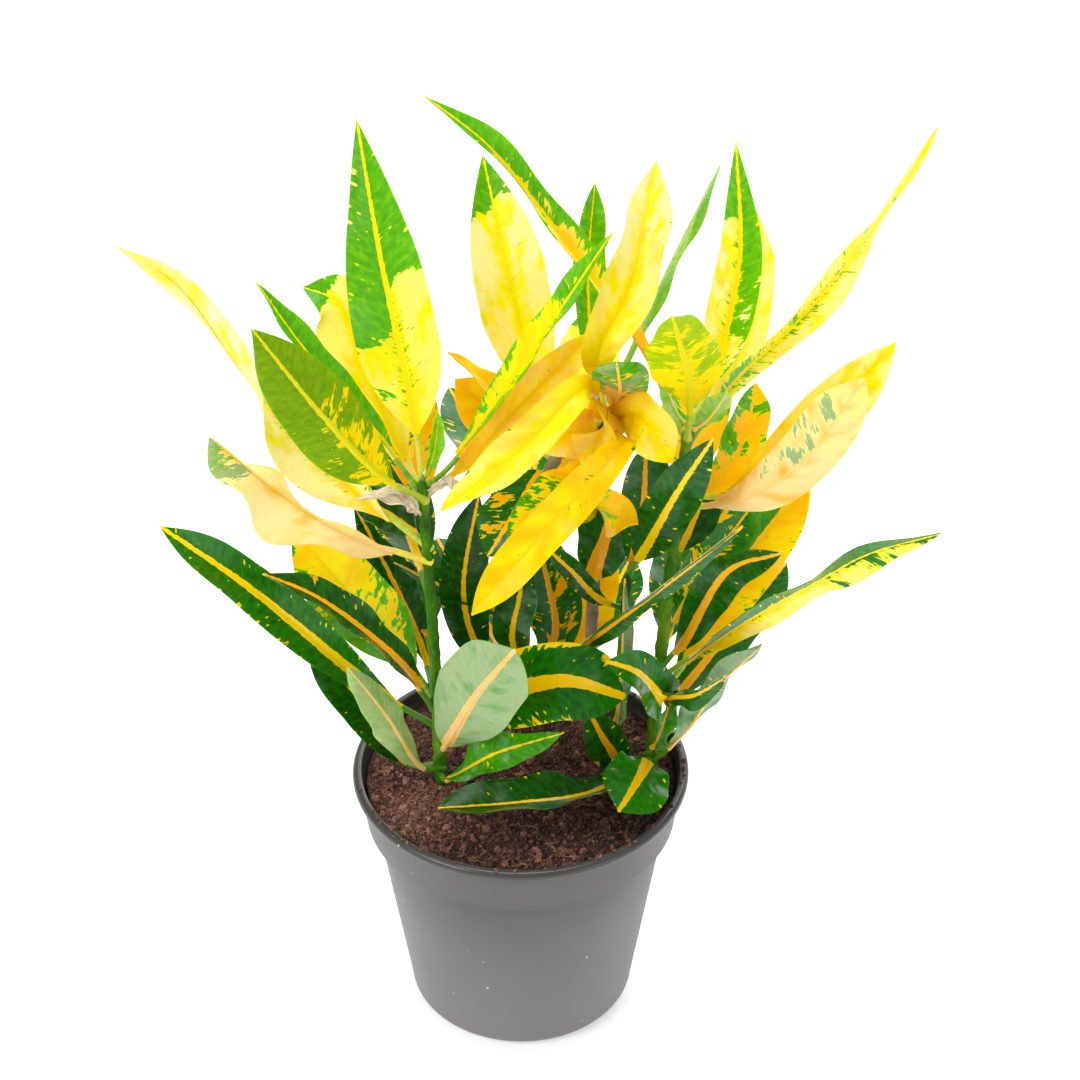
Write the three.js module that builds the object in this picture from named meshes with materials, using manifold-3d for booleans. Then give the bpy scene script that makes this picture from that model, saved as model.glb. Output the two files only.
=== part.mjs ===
// A croton in a plain nursery pot: five rooted cuttings in one pot of soil.
// Millimetres, +Z up, origin at the middle of the pot's base. The front of the plant faces -Y.

import * as THREE from 'three';
import { mergeVertices } from 'three/addons/utils/BufferGeometryUtils.js';
import Module from 'manifold-3d';

const wasm = await Module();
wasm.setup();

// Driving dimensions of the pot.
const potHeight = 100;
const rimRadius = 60; // outside of the rolled lip
const lipHeight = 4;
const lipReach = 2.4; // how far the lip stands out of the collar
const collarHeight = 19.5; // from the top of the lip down to the ledge
const collarFootRadius = 55.6;
const bodyTopRadius = 52.3;
const baseRadius = 41;
const baseRounding = 5;
const ledgeDrop = 1; // how much lower the ledge is where it meets the body
const wall = 1.6;
const floorThickness = 2.6;
const drainHoles = 6;
const drainHoleRadius = 3.5;
const drainCircleRadius = 27;
const potSides = 40;

// Driving dimensions of the soil, the stems and the leaves.
const soilLevel = 94;
const soilLump = 1.1;
const soilSides = 32;
const soilRings = 9;
const clearance = 0.3; // between pieces that touch
const stemFootDepth = 40; // how far a cutting is set into the soil
const stemFootInset = 0.8; // the foot's end is this share of its top's distance from the pot's axis
const stemFootTaper = 0.8;
const stemSides = 8;
const stemSpans = 8;
const bladeThickness = 0.7;
const bladeSpans = 8;
const shortBladeSpans = 6; // on leaves under the short length
const shortLeaf = 100;
const edgeWaves = 2; // on each edge of a blade
const petioleShare = 0.16; // of a leaf's length, up to the longest petiole
const longestPetiole = 18;
const petioleThickness = 2;
const petioleWidth = 2.4;
const narrowestHalf = 0.5; // half the width of a blade at its tip
const thickFootShare = 1 / 6; // of a blade, over which it thins from the petiole
const rollPlaceNear = 0.35; // the two places along a leaf that its rolls are given for
const rollPlaceFar = 0.85;
const edgeWaveShift = 2; // radians between the waves of a blade's two edges

// Each cutting: the points that its stem passes above the soil, foot first, and its radius at the
// foot and below the top bud. Each leaf: its name, the height on the stem where it grows, its
// width, how far along the blade its widest place is, its roll in degrees near the base and near
// the tip, the fold of its halves in degrees, the height of its edge waves, and the points that
// its midrib passes on the way to the tip.
const cuttings = {
  leafy_stem_left: {
    radius: [2.2, 1.7],
    route: [[-28.5, -3, 95], [-30, 1, 155], [-32.5, 3, 219]],
    leaves: [
      ['tall_face', 217, 28, 0.3, -25, -10, 12, 0.8, [-36, 10, 248], [-45, 26, 290], [-52, 40, 333]],
      ['tall_behind', 213, 26, 0.5, -30, -25, 12, 1.2, [-44, 22, 228], [-55, 40, 249], [-61, 46, 262], [-73, 48, 267]],
      ['tall_curl', 209, 19, 0.45, 0, -15, 15, 1, [-45, 36, 229], [-56, 60, 255], [-68, 60, 263]],
      ['narrow_up', 215, 12, 0.45, -5, -5, 28, 0.6, [-53, 12, 240], [-70, 20, 258], [-86, 26, 281]],
      ['olive_front', 212, 25, 0.42, 80, 90, 10, 0.8, [-46, -12, 231], [-63, -32, 268], [-80, -46, 305]],
      ['long_twist', 190, 24, 0.3, -75, 80, 12, 1.2, [-56, 0, 217], [-74, -4, 242], [-90, -8, 271], [-105, -14, 301], [-123, -18, 318]],
      ['peach_wave', 185, 25, 0.66, 165, 170, 26, 4.5, [-57, -6, 202], [-79, -8, 220], [-101, -6, 241]],
      ['yellow_low', 127, 26, 0.45, -65, -65, 12, 1, [-43, 7, 147], [-60, 6, 172], [-77, 4, 200]],
      ['dark_back', 130, 15, 0.45, -5, -5, 15, 0.6, [-36, 14, 146], [-46, 24, 166], [-58, 32, 190]],
      ['long_dark', 117, 17, 0.55, -60, -45, 12, 1, [-51, -8, 140], [-88, -16, 186], [-117, -22, 217]],
      ['shadowed', 125, 15, 0.5, -40, -25, 24, 0.8, [-43, -16, 160], [-65, -22, 187], [-84, -26, 201]],
      ['rim_leaf', 101, 18, 0.5, -65, -65, 10, 0.8, [-41, -4, 104], [-56, -8, 136], [-73, -8, 159]],
      ['pale_strap', 101, 13, 0.45, 95, 105, 14, 1.2, [-36, -12, 109], [-46, -20, 137], [-58, -28, 164]],
      ['pale_short', 106, 29, 0.55, -55, -60, 8, 1.5, [-24, -19, 127], [-14, -36, 159], [-1, -50, 188]],
      ['big_mottle', 110, 27, 0.6, 75, 45, 8, 0.8, [-10, -18, 142], [14, -25, 156], [36, -22, 147]],
      ['wavy_low', 100, 14, 0.4, 20, 95, 15, 1.5, [-25, -14, 105], [-8, -24, 124], [15, -28, 136]],
      ['small_back', 194, 14, 0.45, -30, -30, 12, 0.5, [-41, 12, 196], [-48, 16, 199], [-58, 20, 203]],
      ['arch_green', 216, 12, 0.45, 20, 25, 26, 0.8, [-21, 2, 229], [2, 8, 262], [30, 10, 308]],
      ['arch_gold', 211, 15, 0.5, 70, 75, 15, 2.5, [-16, 4, 227], [4, 10, 248], [24, 14, 269]],
      ['bud', 216, 6, 0.45, 170, 170, 20, 0, [-28, -1, 232], [-26, -5, 250]],
      ['back_mid', 172, 24, 0.45, 0, 0, 14, 1, [-42, 36, 184], [-56, 66, 198]],
      ['back_low', 145, 25, 0.45, 0, 10, 14, 1, [-40, 44, 152], [-48, 80, 160]],
      ['back_high', 198, 22, 0.45, -5, 5, 14, 1, [-38, 36, 218], [-44, 62, 238]],
    ],
  },
  leafy_stem_back: {
    radius: [2.6, 2],
    route: [[0, 36, 95], [3, 31, 180], [14, 25, 218]],
    leaves: [
      ['pale_pillar', 217, 25, 0.4, -35, -30, 10, 0.8, [5, 36, 238], [-4, 46, 276], [-12, 54, 313]],
      ['orange_thin', 212, 10, 0.5, -15, 5, 20, 0.6, [-2, 29, 231], [-24, 34, 250]],
      ['orange_hidden', 212, 20, 0.45, -50, -50, 12, 0.6, [-4, 30, 223], [-22, 36, 238]],
      ['mottle_hang', 208, 21, 0.5, -25, -20, 12, 1.2, [6, 18, 210], [-1, 10, 202], [-11, 4, 187]],
      ['dark_column', 108, 17, 0.5, -120, -155, 12, 0.6, [-14, 27, 128], [-20, 22, 160], [-14, 20, 202]],
      ['dark_deep', 116, 16, 0.45, 145, 125, 12, 0.6, [-3, 24, 138], [0, 24, 158], [3, 24, 180]],
      ['mottle_deep', 108, 22, 0.45, 0, 15, 12, 0.6, [12, 40, 126], [10, 45, 146], [3, 50, 171]],
      ['gold_deep', 112, 19, 0.45, 50, 55, 12, 0.6, [20, 48, 119], [26, 54, 136], [32, 62, 156]],
      ['behind_stem', 132, 13, 0.45, -35, -25, 20, 0.6, [-14, 30, 150], [-28, 25, 160], [-44, 22, 172]],
      ['back_low', 112, 26, 0.5, 0, 0, 14, 1, [-16, 62, 122], [-32, 90, 136]],
      ['back_low_right', 106, 26, 0.5, 0, 0, 14, 1, [26, 66, 112], [42, 98, 122]],
      ['back_fan', 156, 26, 0.5, 0, 0, 14, 1.2, [5, 70, 170], [4, 102, 182]],
      ['back_fan_left', 176, 24, 0.45, 0, 0, 14, 1, [-12, 56, 196], [-26, 84, 206]],
      ['back_fan_right', 190, 24, 0.45, 0, 0, 14, 1, [22, 52, 206], [30, 82, 214]],
    ],
  },
  leafy_stem_centre: {
    radius: [2.4, 1.8],
    route: [[24, 26, 95], [26, 23, 170], [28, 17, 237]],
    leaves: [
      ['gold_front', 229, 14.5, 0.6, -30, -15, 12, 2.4, [34, -12, 243], [12, -34, 228], [-15, -52, 203]],
      ['gold_mid', 232, 20, 0.5, 165, 0, 10, 1.5, [29, 4, 245], [26, -6, 240], [21, -10, 232]],
      ['gold_crinkle', 235, 14, 0.55, -45, -15, 15, 3, [21, -6, 260], [1, -22, 247], [-25, -34, 231]],
      ['gold_tall', 236, 18, 0.55, 50, 80, 12, 2.6, [26, 6, 266], [36, 14, 287], [44, 27, 324]],
      ['olive_crown', 236, 19, 0.5, -20, 0, 8, 0.8, [33, 4, 252], [31, -18, 277]],
      ['gold_drop', 231, 18, 0.5, 90, 40, 10, 1.2, [39, -4, 248], [49, -26, 244]],
      ['gold_inner', 228, 16, 0.5, -20, -20, 14, 1.5, [22, 5, 222], [10, -3, 214], [-4, -10, 203]],
      ['grey_back', 236, 12, 0.5, 15, 15, 16, 0.4, [24, 34, 255], [23, 44, 278], [25, 50, 305]],
      ['edge_on', 234, 11, 0.5, 120, 120, 20, 0.4, [39, 32, 255], [51, 40, 281], [66, 48, 312]],
      ['gold_left', 228, 17, 0.5, -85, -30, 10, 1.2, [19, 4, 237], [7, -8, 237]],
      ['mottle_under', 192, 19, 0.5, -170, -300, 10, 1, [26, -2, 211], [39, -16, 214]],
      ['dark_arrow', 159, 20, 0.5, 115, 110, 10, 0.6, [26, 18, 172], [30, 15, 190], [32, 14, 207]],
      ['back_up', 212, 22, 0.45, 0, 0, 14, 1, [24, 46, 230], [23, 74, 243]],
      ['edge_strip', 135, 11, 0.5, 160, 170, 20, 0.5, [20, -8, 157], [42, -23, 188], [72, -34, 225]],
    ],
  },
  leafy_stem_low: {
    radius: [2, 1.5],
    route: [[33, 11, 95], [35, 9, 130], [37, 7, 178]],
    leaves: [
      ['dark_blade', 176, 17, 0.45, 125, 125, 12, 0.6, [43, -6, 199], [52, -16, 227], [62, -24, 252]],
      ['dark_round', 172, 18, 0.6, 115, 130, 8, 0.5, [41, 5, 200], [42, 6, 216], [42, 6, 231]],
      ['dark_strap', 162, 8, 0.5, -75, -75, 15, 0.4, [26, 0, 173], [18, -4, 186], [8, -8, 200]],
      ['dark_middle', 102, 18, 0.45, -100, -95, 12, 0.5, [35, 0, 127], [36, 0, 152], [36, 1, 180]],
      ['low_fold', 100, 15, 0.45, -125, -130, 14, 0.5, [35, 0, 101], [29, -4, 115], [24, -6, 128]],
    ],
  },
  leafy_stem_right: {
    radius: [2.3, 1.8],
    route: [[46, 0, 95], [50, 4, 160], [56, 8, 236]],
    leaves: [
      ['long_right', 226, 12, 0.35, 105, 125, 18, 2.4, [69, 2, 256], [90, 3, 280], [107, 5, 304], [130, 10, 344]],
      ['long_left', 234, 13, 0.5, -5, -5, 28, 0.8, [40, 20, 261], [11, 34, 298], [-9, 41, 322], [-30, 46, 338]],
      ['tall_right', 235, 16, 0.32, 20, 25, 10, 0.8, [65, 18, 253], [72, 28, 289], [70, 38, 326]],
      ['pale_right', 231, 15, 0.45, 55, 55, 12, 0.6, [72, 34, 243], [79, 44, 268], [79, 50, 294]],
      ['olive_small', 234, 23, 0.35, 15, 25, 8, 0.8, [55, -8, 262], [49, -34, 296], [46, -52, 313]],
      ['bud_left', 235, 8, 0.45, 115, 105, 15, 0.3, [51, 2, 246], [46, -4, 262]],
      ['bud_right', 235, 9, 0.45, -40, -30, 15, 0.3, [62, 0, 245], [67, -8, 260]],
      ['folded_right', 209, 19, 0.5, 80, 85, 14, 1.2, [74, -6, 220], [95, -8, 245], [120, -8, 278]],
      ['folded_flap', 205, 20, 0.55, -95, -60, 20, 2.2, [74, -14, 223], [93, -24, 246], [107, -34, 281]],
      ['broad_right', 127, 22, 0.5, 50, 55, 8, 0.8, [62, 8, 147], [79, 15, 179], [99, 20, 210]],
      ['curl_tip', 138, 15, 0.5, 120, 100, 20, 1.2, [57, -6, 160], [69, -14, 193], [86, -27, 210]],
      ['low_right', 134, 14, 0.55, 125, 120, 18, 1.5, [74, -16, 172], [99, -28, 200], [114, -33, 214], [135, -38, 225]],
      ['brown_curl', 102, 13, 0.5, -25, -30, 20, 1.2, [58, -12, 125], [67, -20, 150], [81, -28, 174]],
      ['front_dark', 100, 20, 0.6, 5, 0, 26, 1.2, [24, -26, 108], [0, -36, 112], [-28, -38, 111]],
      ['front_curl', 104, 24, 0.55, -20, -25, 12, 1, [42, -18, 109], [34, -36, 108]],
      ['saddle', 128, 17, 0.5, -110, -75, 14, 1.2, [49, -18, 142], [40, -30, 163], [29, -34, 171]],
      ['saddle_wing', 130, 10, 0.5, 100, 160, 20, 1, [52, -18, 144], [60, -27, 152], [69, -33, 164]],
      ['spear', 103, 12, 0.45, -120, -110, 14, 0.5, [50, -9, 122], [54, -13, 146]],
      ['gold_side', 205, 16, 0.5, 60, 70, 12, 1.2, [69, 10, 217], [76, 16, 230], [79, 22, 245]],
      ['dark_hidden', 182, 16, 0.45, 50, 55, 12, 0.5, [60, 14, 197], [64, 18, 214]],
      ['mottle_hidden', 150, 18, 0.45, 65, 65, 12, 0.8, [62, 10, 174], [78, 18, 196]],
      ['back_mid', 165, 25, 0.45, 0, 0, 14, 1, [72, 38, 182], [86, 64, 196]],
      ['back_low', 116, 26, 0.5, 0, 0, 14, 1, [74, 40, 126], [98, 68, 140]],
      ['back_high', 203, 22, 0.45, 0, 5, 14, 1, [62, 42, 220], [66, 70, 232]],
      ['back_inner', 140, 24, 0.5, 0, 0, 14, 1, [58, 46, 150], [66, 80, 162]],
    ],
  },
};

// A closed geometry with only its corners left becomes a solid that can be joined and cut.
function toSolid(geometry) {
  geometry.deleteAttribute('normal');
  geometry.deleteAttribute('uv');
  const merged = mergeVertices(geometry, 1e-4);
  return new wasm.Manifold(new wasm.Mesh({
    numProp: 3,
    vertProperties: new Float32Array(merged.attributes.position.array),
    triVerts: new Uint32Array(merged.index.array),
  }));
}

function toGeometry(solid) {
  const mesh = solid.getMesh();
  const geometry = new THREE.BufferGeometry();
  geometry.setAttribute('position', new THREE.BufferAttribute(mesh.vertProperties, 3));
  geometry.setIndex(new THREE.BufferAttribute(mesh.triVerts, 1));
  return geometry;
}

function curveThrough(points) {
  return new THREE.CatmullRomCurve3(points, false, 'catmullrom', 0.5);
}

// A profile of radius and height pairs, turned round the Z axis.
function turned(profile, sides) {
  const points = profile.map(([radius, height]) => new THREE.Vector2(radius, height));
  return new THREE.LatheGeometry(points, sides).rotateX(Math.PI / 2);
}

// The pot: a tapered body with a rounded foot, a ledge, a collar and a rolled lip.
const ledgeHeight = potHeight - collarHeight;
const collarTopRadius = rimRadius - lipReach;
const lipFoot = potHeight - lipHeight;
const lipRounding = lipHeight / 2;

function arc(centreRadius, centreHeight, radius, from, to, steps) {
  return Array.from({ length: steps + 1 }, (_, step) => {
    const angle = THREE.MathUtils.degToRad(from + (to - from) * step / steps);
    return [centreRadius + radius * Math.cos(angle), centreHeight + radius * Math.sin(angle)];
  });
}

function potSolid() {
  const ledgeRounding = 0.7;
  const profile = [
    [0, 0],
    ...arc(baseRadius - baseRounding, baseRounding, baseRounding, -90, 0, 3),
    [bodyTopRadius, ledgeHeight - ledgeDrop],
    [collarFootRadius - ledgeRounding, ledgeHeight - ledgeDrop + ledgeRounding],
    [collarFootRadius, ledgeHeight + ledgeRounding],
    [collarTopRadius, lipFoot - ledgeRounding],
    ...arc(rimRadius - lipRounding, lipFoot + lipRounding, lipRounding, -60, 120, 5),
    [collarTopRadius - wall, lipFoot],
    [collarFootRadius - wall, ledgeHeight + wall],
    [bodyTopRadius - wall, ledgeHeight - ledgeDrop],
    [baseRadius - wall, floorThickness + baseRounding],
    [baseRadius - wall - baseRounding, floorThickness],
    [0, floorThickness],
  ];
  let solid = toSolid(turned(profile, potSides));
  const drillLength = 3 * floorThickness;
  for (let hole = 0; hole < drainHoles; hole++) {
    const angle = 2 * Math.PI * hole / drainHoles;
    const x = drainCircleRadius * Math.cos(angle);
    const y = drainCircleRadius * Math.sin(angle);
    const drill = new THREE.CylinderGeometry(drainHoleRadius, drainHoleRadius, drillLength, 10);
    drill.rotateX(Math.PI / 2).translate(x, y, floorThickness / 2);
    solid = solid.subtract(toSolid(drill));
  }
  return solid;
}

// The soil fills the pot to a little below the lip. Broad swells and small lumps lie on its top.
function lumpiness(x, y) {
  const broad = Math.sin(0.11 * x + 1.3) * Math.cos(0.13 * y - 0.4);
  const small = Math.sin(0.47 * x - 0.6) * Math.sin(0.41 * y + 1.1) + Math.cos(0.73 * x + 0.5 * y);
  return soilLump * (0.6 * broad + 0.35 * small);
}

function soilSolid() {
  const inset = wall + clearance;
  const collarSlope = (collarTopRadius - collarFootRadius) / (lipFoot - ledgeHeight);
  const edgeRadius = collarFootRadius - inset + collarSlope * (soilLevel - ledgeHeight - 2 * wall);
  const profile = [
    [0, floorThickness + clearance],
    [baseRadius - inset - baseRounding, floorThickness + clearance],
    [baseRadius - inset, floorThickness + baseRounding],
    [bodyTopRadius - inset, ledgeHeight - ledgeDrop],
    [collarFootRadius - inset, ledgeHeight + wall + clearance],
  ];
  for (let ring = soilRings; ring >= 0; ring--) {
    profile.push([edgeRadius * ring / soilRings, soilLevel]);
  }
  const soil = turned(profile, soilSides);
  const position = soil.attributes.position;
  for (let i = 0; i < position.count; i++) {
    if (position.getZ(i) > soilLevel - 0.01) {
      const x = position.getX(i);
      const y = position.getY(i);
      const settled = 1 - 0.5 * Math.pow(Math.hypot(x, y) / edgeRadius, 4);
      position.setZ(i, soilLevel + settled * lumpiness(x, y));
    }
  }
  return toSolid(soil);
}

// A stem: a tapered tube bent along its route, with its foot slanting into the soil.
function bentTube(route, radiusFrom, radiusTo) {
  const tube = new THREE.CylinderGeometry(radiusTo, radiusFrom, 1, stemSides, stemSpans);
  const position = tube.attributes.position;
  const across = new THREE.Vector3();
  const inward = new THREE.Vector3();
  for (let i = 0; i < position.count; i++) {
    const along = THREE.MathUtils.clamp(position.getY(i) + 0.5, 0, 1);
    const tangent = route.getTangentAt(along);
    across.set(1, 0, 0).addScaledVector(tangent, -tangent.x).normalize();
    inward.crossVectors(across, tangent);
    const point = route.getPointAt(along)
      .addScaledVector(across, position.getX(i))
      .addScaledVector(inward, position.getZ(i));
    position.setXYZ(i, point.x, point.y, point.z);
  }
  return tube;
}

function footCylinder(cutting, spare) {
  const top = new THREE.Vector3(...cutting.route[0]);
  const end = new THREE.Vector3(top.x * stemFootInset, top.y * stemFootInset, top.z - stemFootDepth);
  const direction = top.clone().sub(end).normalize();
  const above = spare > 0 ? 6 : 0.6;
  const length = top.distanceTo(end) + spare + above;
  const radius = cutting.radius[0] + spare;
  const foot = new THREE.CylinderGeometry(radius, radius - stemFootTaper, length, 12);
  foot.applyQuaternion(new THREE.Quaternion().setFromUnitVectors(new THREE.Vector3(0, 1, 0), direction));
  const middle = end.addScaledVector(direction, length / 2 - spare);
  return foot.translate(middle.x, middle.y, middle.z);
}

function heightOnStem(route, height) {
  let low = 0;
  let high = 1;
  for (let step = 0; step < 30; step++) {
    const middle = (low + high) / 2;
    if (route.getPointAt(middle).z < height) {
      low = middle;
    } else {
      high = middle;
    }
  }
  return route.getPointAt(low);
}

// Half the width of a blade, as a share of the widest, at a share of the way from its base. A
// blade that is widest far from its base keeps its width for longer and has a blunter tip.
function bladeOutline(along, widest) {
  if (along < widest) {
    return Math.pow(Math.sin(Math.PI / 2 * along / widest), 0.8);
  }
  const bluntness = 1 + 4 * (widest - 0.28);
  return Math.cos(Math.PI / 2 * Math.pow((along - widest) / (1 - widest), bluntness));
}

// A different start for the edge waves of each leaf, from the letters of its name.
function wavePhase(name) {
  return [...name].reduce((sum, letter, i) => sum + letter.charCodeAt(0) * (i + 1), 0) % 628 / 100;
}

function leafSolid(stem, [name, height, width, widest, rollNear, rollFar, fold, wave, ...points]) {
  const route = curveThrough([heightOnStem(stem, height), ...points.map((p) => new THREE.Vector3(...p))]);
  const length = route.getLength();
  const petiole = Math.min(longestPetiole, petioleShare * length) / length;
  const start = route.getPoint(0);
  const end = route.getPoint(1);
  const side = new THREE.Vector3(start.y - end.y, end.x - start.x, 0).normalize();
  const foldAngle = THREE.MathUtils.degToRad(fold);
  const places = [0, 0.6 * petiole];
  const spans = length < shortLeaf ? shortBladeSpans : bladeSpans;
  for (let span = 0; span <= spans; span++) {
    places.push(Math.min(1, petiole + (1 - petiole) * span / spans));
  }
  const corners = [];
  for (const place of places) {
    const along = Math.max(0, (place - petiole) / (1 - petiole));
    const tangent = route.getTangentAt(place);
    const across = side.clone().addScaledVector(tangent, -side.dot(tangent)).normalize();
    const up = new THREE.Vector3().crossVectors(tangent, across);
    const rolled = (place - rollPlaceNear) / (rollPlaceFar - rollPlaceNear);
    const roll = THREE.MathUtils.degToRad(rollNear + (rollFar - rollNear) * rolled);
    across.applyAxisAngle(tangent, roll);
    up.applyAxisAngle(tangent, roll);
    const half = Math.max(width / 2 * bladeOutline(along, widest), petioleWidth / 2 * (1 - along));
    const out = Math.max(half, narrowestHalf) * Math.cos(foldAngle);
    const lift = half * Math.sin(foldAngle);
    const ripple = wave * Math.sin(Math.PI * along);
    const turn = 2 * Math.PI * edgeWaves * along + wavePhase(name);
    const leftLift = lift + ripple * Math.sin(turn);
    const rightLift = lift + ripple * Math.sin(turn + edgeWaveShift);
    const thick = THREE.MathUtils.lerp(petioleThickness, bladeThickness, Math.min(1, along / thickFootShare));
    const centre = route.getPointAt(place);
    const ring = [
      [-out, leftLift],
      [0, 0],
      [out, rightLift],
      [out, rightLift - thick],
      [0, -thick],
      [-out, leftLift - thick],
    ];
    for (const [sideways, raised] of ring) {
      corners.push(centre.clone().addScaledVector(across, sideways).addScaledVector(up, raised));
    }
  }
  const faces = [[0, 4, 5], [0, 1, 4], [1, 3, 4], [1, 2, 3]];
  const last = corners.length - 6;
  faces.push([last, last + 5, last + 4], [last, last + 4, last + 1]);
  faces.push([last + 1, last + 4, last + 3], [last + 1, last + 3, last + 2]);
  for (let ring = 0; ring < last; ring += 6) {
    for (let k = 0; k < 6; k++) {
      const here = ring + k;
      const next = ring + (k + 1) % 6;
      if (k === 3 || k === 4) {
        faces.push([here, here + 6, next], [next, here + 6, next + 6]);
      } else {
        faces.push([here, here + 6, next + 6], [here, next + 6, next]);
      }
    }
  }
  const numbers = corners.flatMap((corner) => corner.toArray());
  const geometry = new THREE.BufferGeometry();
  geometry.setAttribute('position', new THREE.Float32BufferAttribute(numbers, 3));
  geometry.setIndex(faces.flat());
  return toSolid(geometry);
}

function cuttingSolid(cutting) {
  const route = curveThrough(cutting.route.map((point) => new THREE.Vector3(...point)));
  let solid = toSolid(bentTube(route, ...cutting.radius));
  solid = solid.add(toSolid(footCylinder(cutting, 0)));
  for (const leaf of cutting.leaves) {
    solid = solid.add(leafSolid(route, leaf));
  }
  return solid;
}

function named(name, geometry, color, roughness) {
  const mesh = new THREE.Mesh(geometry, new THREE.MeshStandardMaterial({ color, roughness, metalness: 0 }));
  mesh.name = name;
  return mesh;
}

const croton = new THREE.Group();
croton.add(named('pot', toGeometry(potSolid()), 0x6f7076, 0.55));

let soil = soilSolid();
for (const cutting of Object.values(cuttings)) {
  soil = soil.subtract(toSolid(footCylinder(cutting, clearance)));
}
croton.add(named('soil', toGeometry(soil), 0x4a2f28, 0.95));

const leafColours = {
  leafy_stem_left: 0xb9c22e,
  leafy_stem_back: 0x8faa2c,
  leafy_stem_centre: 0xf2c928,
  leafy_stem_low: 0x2f6e2c,
  leafy_stem_right: 0xd4c832,
};
for (const [name, cutting] of Object.entries(cuttings)) {
  croton.add(named(name, toGeometry(cuttingSolid(cutting)), leafColours[name], 0.45));
}

export default croton;
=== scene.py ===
# A croton in a plain nursery pot: five rooted cuttings with variegated leaves.
# Metres in the frame's own axes, with the front of the plant facing -Y.
import math
import random
from functools import partial

import bpy
import numpy as np
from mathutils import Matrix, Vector, noise


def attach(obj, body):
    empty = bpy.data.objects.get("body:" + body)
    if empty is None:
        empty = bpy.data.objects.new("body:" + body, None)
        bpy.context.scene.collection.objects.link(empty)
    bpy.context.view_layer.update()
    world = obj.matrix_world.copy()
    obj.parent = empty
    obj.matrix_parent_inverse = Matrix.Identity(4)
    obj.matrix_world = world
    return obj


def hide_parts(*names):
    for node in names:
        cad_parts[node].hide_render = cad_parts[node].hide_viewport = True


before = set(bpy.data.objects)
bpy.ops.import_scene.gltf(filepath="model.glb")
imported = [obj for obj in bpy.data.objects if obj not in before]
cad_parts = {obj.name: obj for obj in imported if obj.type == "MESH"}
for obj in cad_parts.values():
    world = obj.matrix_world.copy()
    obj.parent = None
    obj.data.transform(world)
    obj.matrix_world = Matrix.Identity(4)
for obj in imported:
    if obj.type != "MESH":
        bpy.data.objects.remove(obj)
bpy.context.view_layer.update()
mm = 0.001
fullTurn = 2 * math.pi
print("frame loaded, nodes", len(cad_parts))


def deselectAll():
    if bpy.context.mode != "OBJECT":
        bpy.ops.object.mode_set(mode="OBJECT")
    bpy.ops.object.select_all(action="DESELECT")


def begin(name):
    piece = bpy.context.object  # the primitive that was just added
    piece.name = name
    piece.data.name = name
    return piece


def selectOnly(piece):
    deselectAll()
    piece.select_set(True)
    bpy.context.view_layer.objects.active = piece


def pickParts(piece, kind, wanted):
    # selects the faces or edges that suit, and opens edit mode on them
    selectOnly(piece)
    bpy.ops.object.mode_set(mode="EDIT")
    bpy.ops.mesh.select_mode(type=kind)
    bpy.ops.mesh.select_all(action="DESELECT")
    bpy.ops.object.mode_set(mode="OBJECT")
    for part in piece.data.polygons if kind == "FACE" else piece.data.edges:
        part.select = bool(wanted(part))
    bpy.ops.object.mode_set(mode="EDIT")


def pickTopFace(piece):
    pickParts(piece, "FACE", lambda face: face.normal.z > 0.9)


def cutRod(rod, spans):
    # divides a rod's long edges, where the rod is as the primitive gives it, 2 long
    def isLong(edge):
        first, last = [rod.data.vertices[i].co for i in edge.vertices]
        return (first - last).length > 1.9

    pickParts(rod, "EDGE", isLong)
    bpy.ops.mesh.subdivide(number_cuts=spans - 1)
    bpy.ops.object.mode_set(mode="OBJECT")


def applyModifier(piece, kind, **settings):
    selectOnly(piece)
    modifier = piece.modifiers.new(kind.lower(), kind)
    for setting, value in settings.items():
        setattr(modifier, setting, value)
    bpy.ops.object.modifier_apply(modifier=modifier.name)


def placePiece(piece, node, materials):
    selectOnly(piece)
    bpy.ops.object.transform_apply(location=True, rotation=True, scale=True)
    for i, material in enumerate(materials):
        if i < len(piece.data.materials):
            piece.data.materials[i] = material
        else:
            piece.data.materials.append(material)
    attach(piece, "root")
    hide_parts(node)


def cornersOf(mesh):
    corners = np.zeros(len(mesh.vertices) * 3)
    mesh.vertices.foreach_get("co", corners)
    return corners.reshape(-1, 3)


def setCorners(mesh, corners):
    mesh.vertices.foreach_set("co", np.ascontiguousarray(corners, dtype=np.float32).ravel())
    mesh.update()


def setVectors(mesh, name, *columns):
    # three numbers for each corner, which a material reads by name
    rows = np.stack(np.broadcast_arrays(*columns), axis=1)
    layer = mesh.attributes.new(name, "FLOAT_VECTOR", "POINT")
    layer.data.foreach_set("vector", np.ascontiguousarray(rows, dtype=np.float32).ravel())


def smoothstep(low, high, value):
    share = np.clip((value - low) / (high - low), 0, 1)
    return share * share * (3 - 2 * share)


def hexColour(code):
    # sRGB hex to the linear colour that a socket takes
    parts = [int(code[i:i + 2], 16) / 255 for i in (1, 3, 5)]
    return tuple(p / 12.92 if p <= 0.04045 else ((p + 0.055) / 1.055) ** 2.4 for p in parts) + (1.0,)


def addNode(tree, kind, inputs=None, stops=None, **settings):
    # an input is a number, a colour, a socket, or a node for its first output
    node = tree.nodes.new("ShaderNode" + kind)
    for setting, value in settings.items():
        setattr(node, setting, value)
    if stops:  # a ramp's places and hex colours, from low to high
        elements = node.color_ramp.elements
        while len(elements) < len(stops):
            elements.new(0.5)
        for element, (place, code) in zip(elements, stops):
            element.position = place
            element.color = hexColour(code)
    for socket, value in (inputs or {}).items():
        if isinstance(value, bpy.types.Node):
            value = value.outputs[0]
        if isinstance(value, bpy.types.NodeSocket):
            tree.links.new(value, node.inputs[socket])
        else:
            node.inputs[socket].default_value = value
    return node


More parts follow.
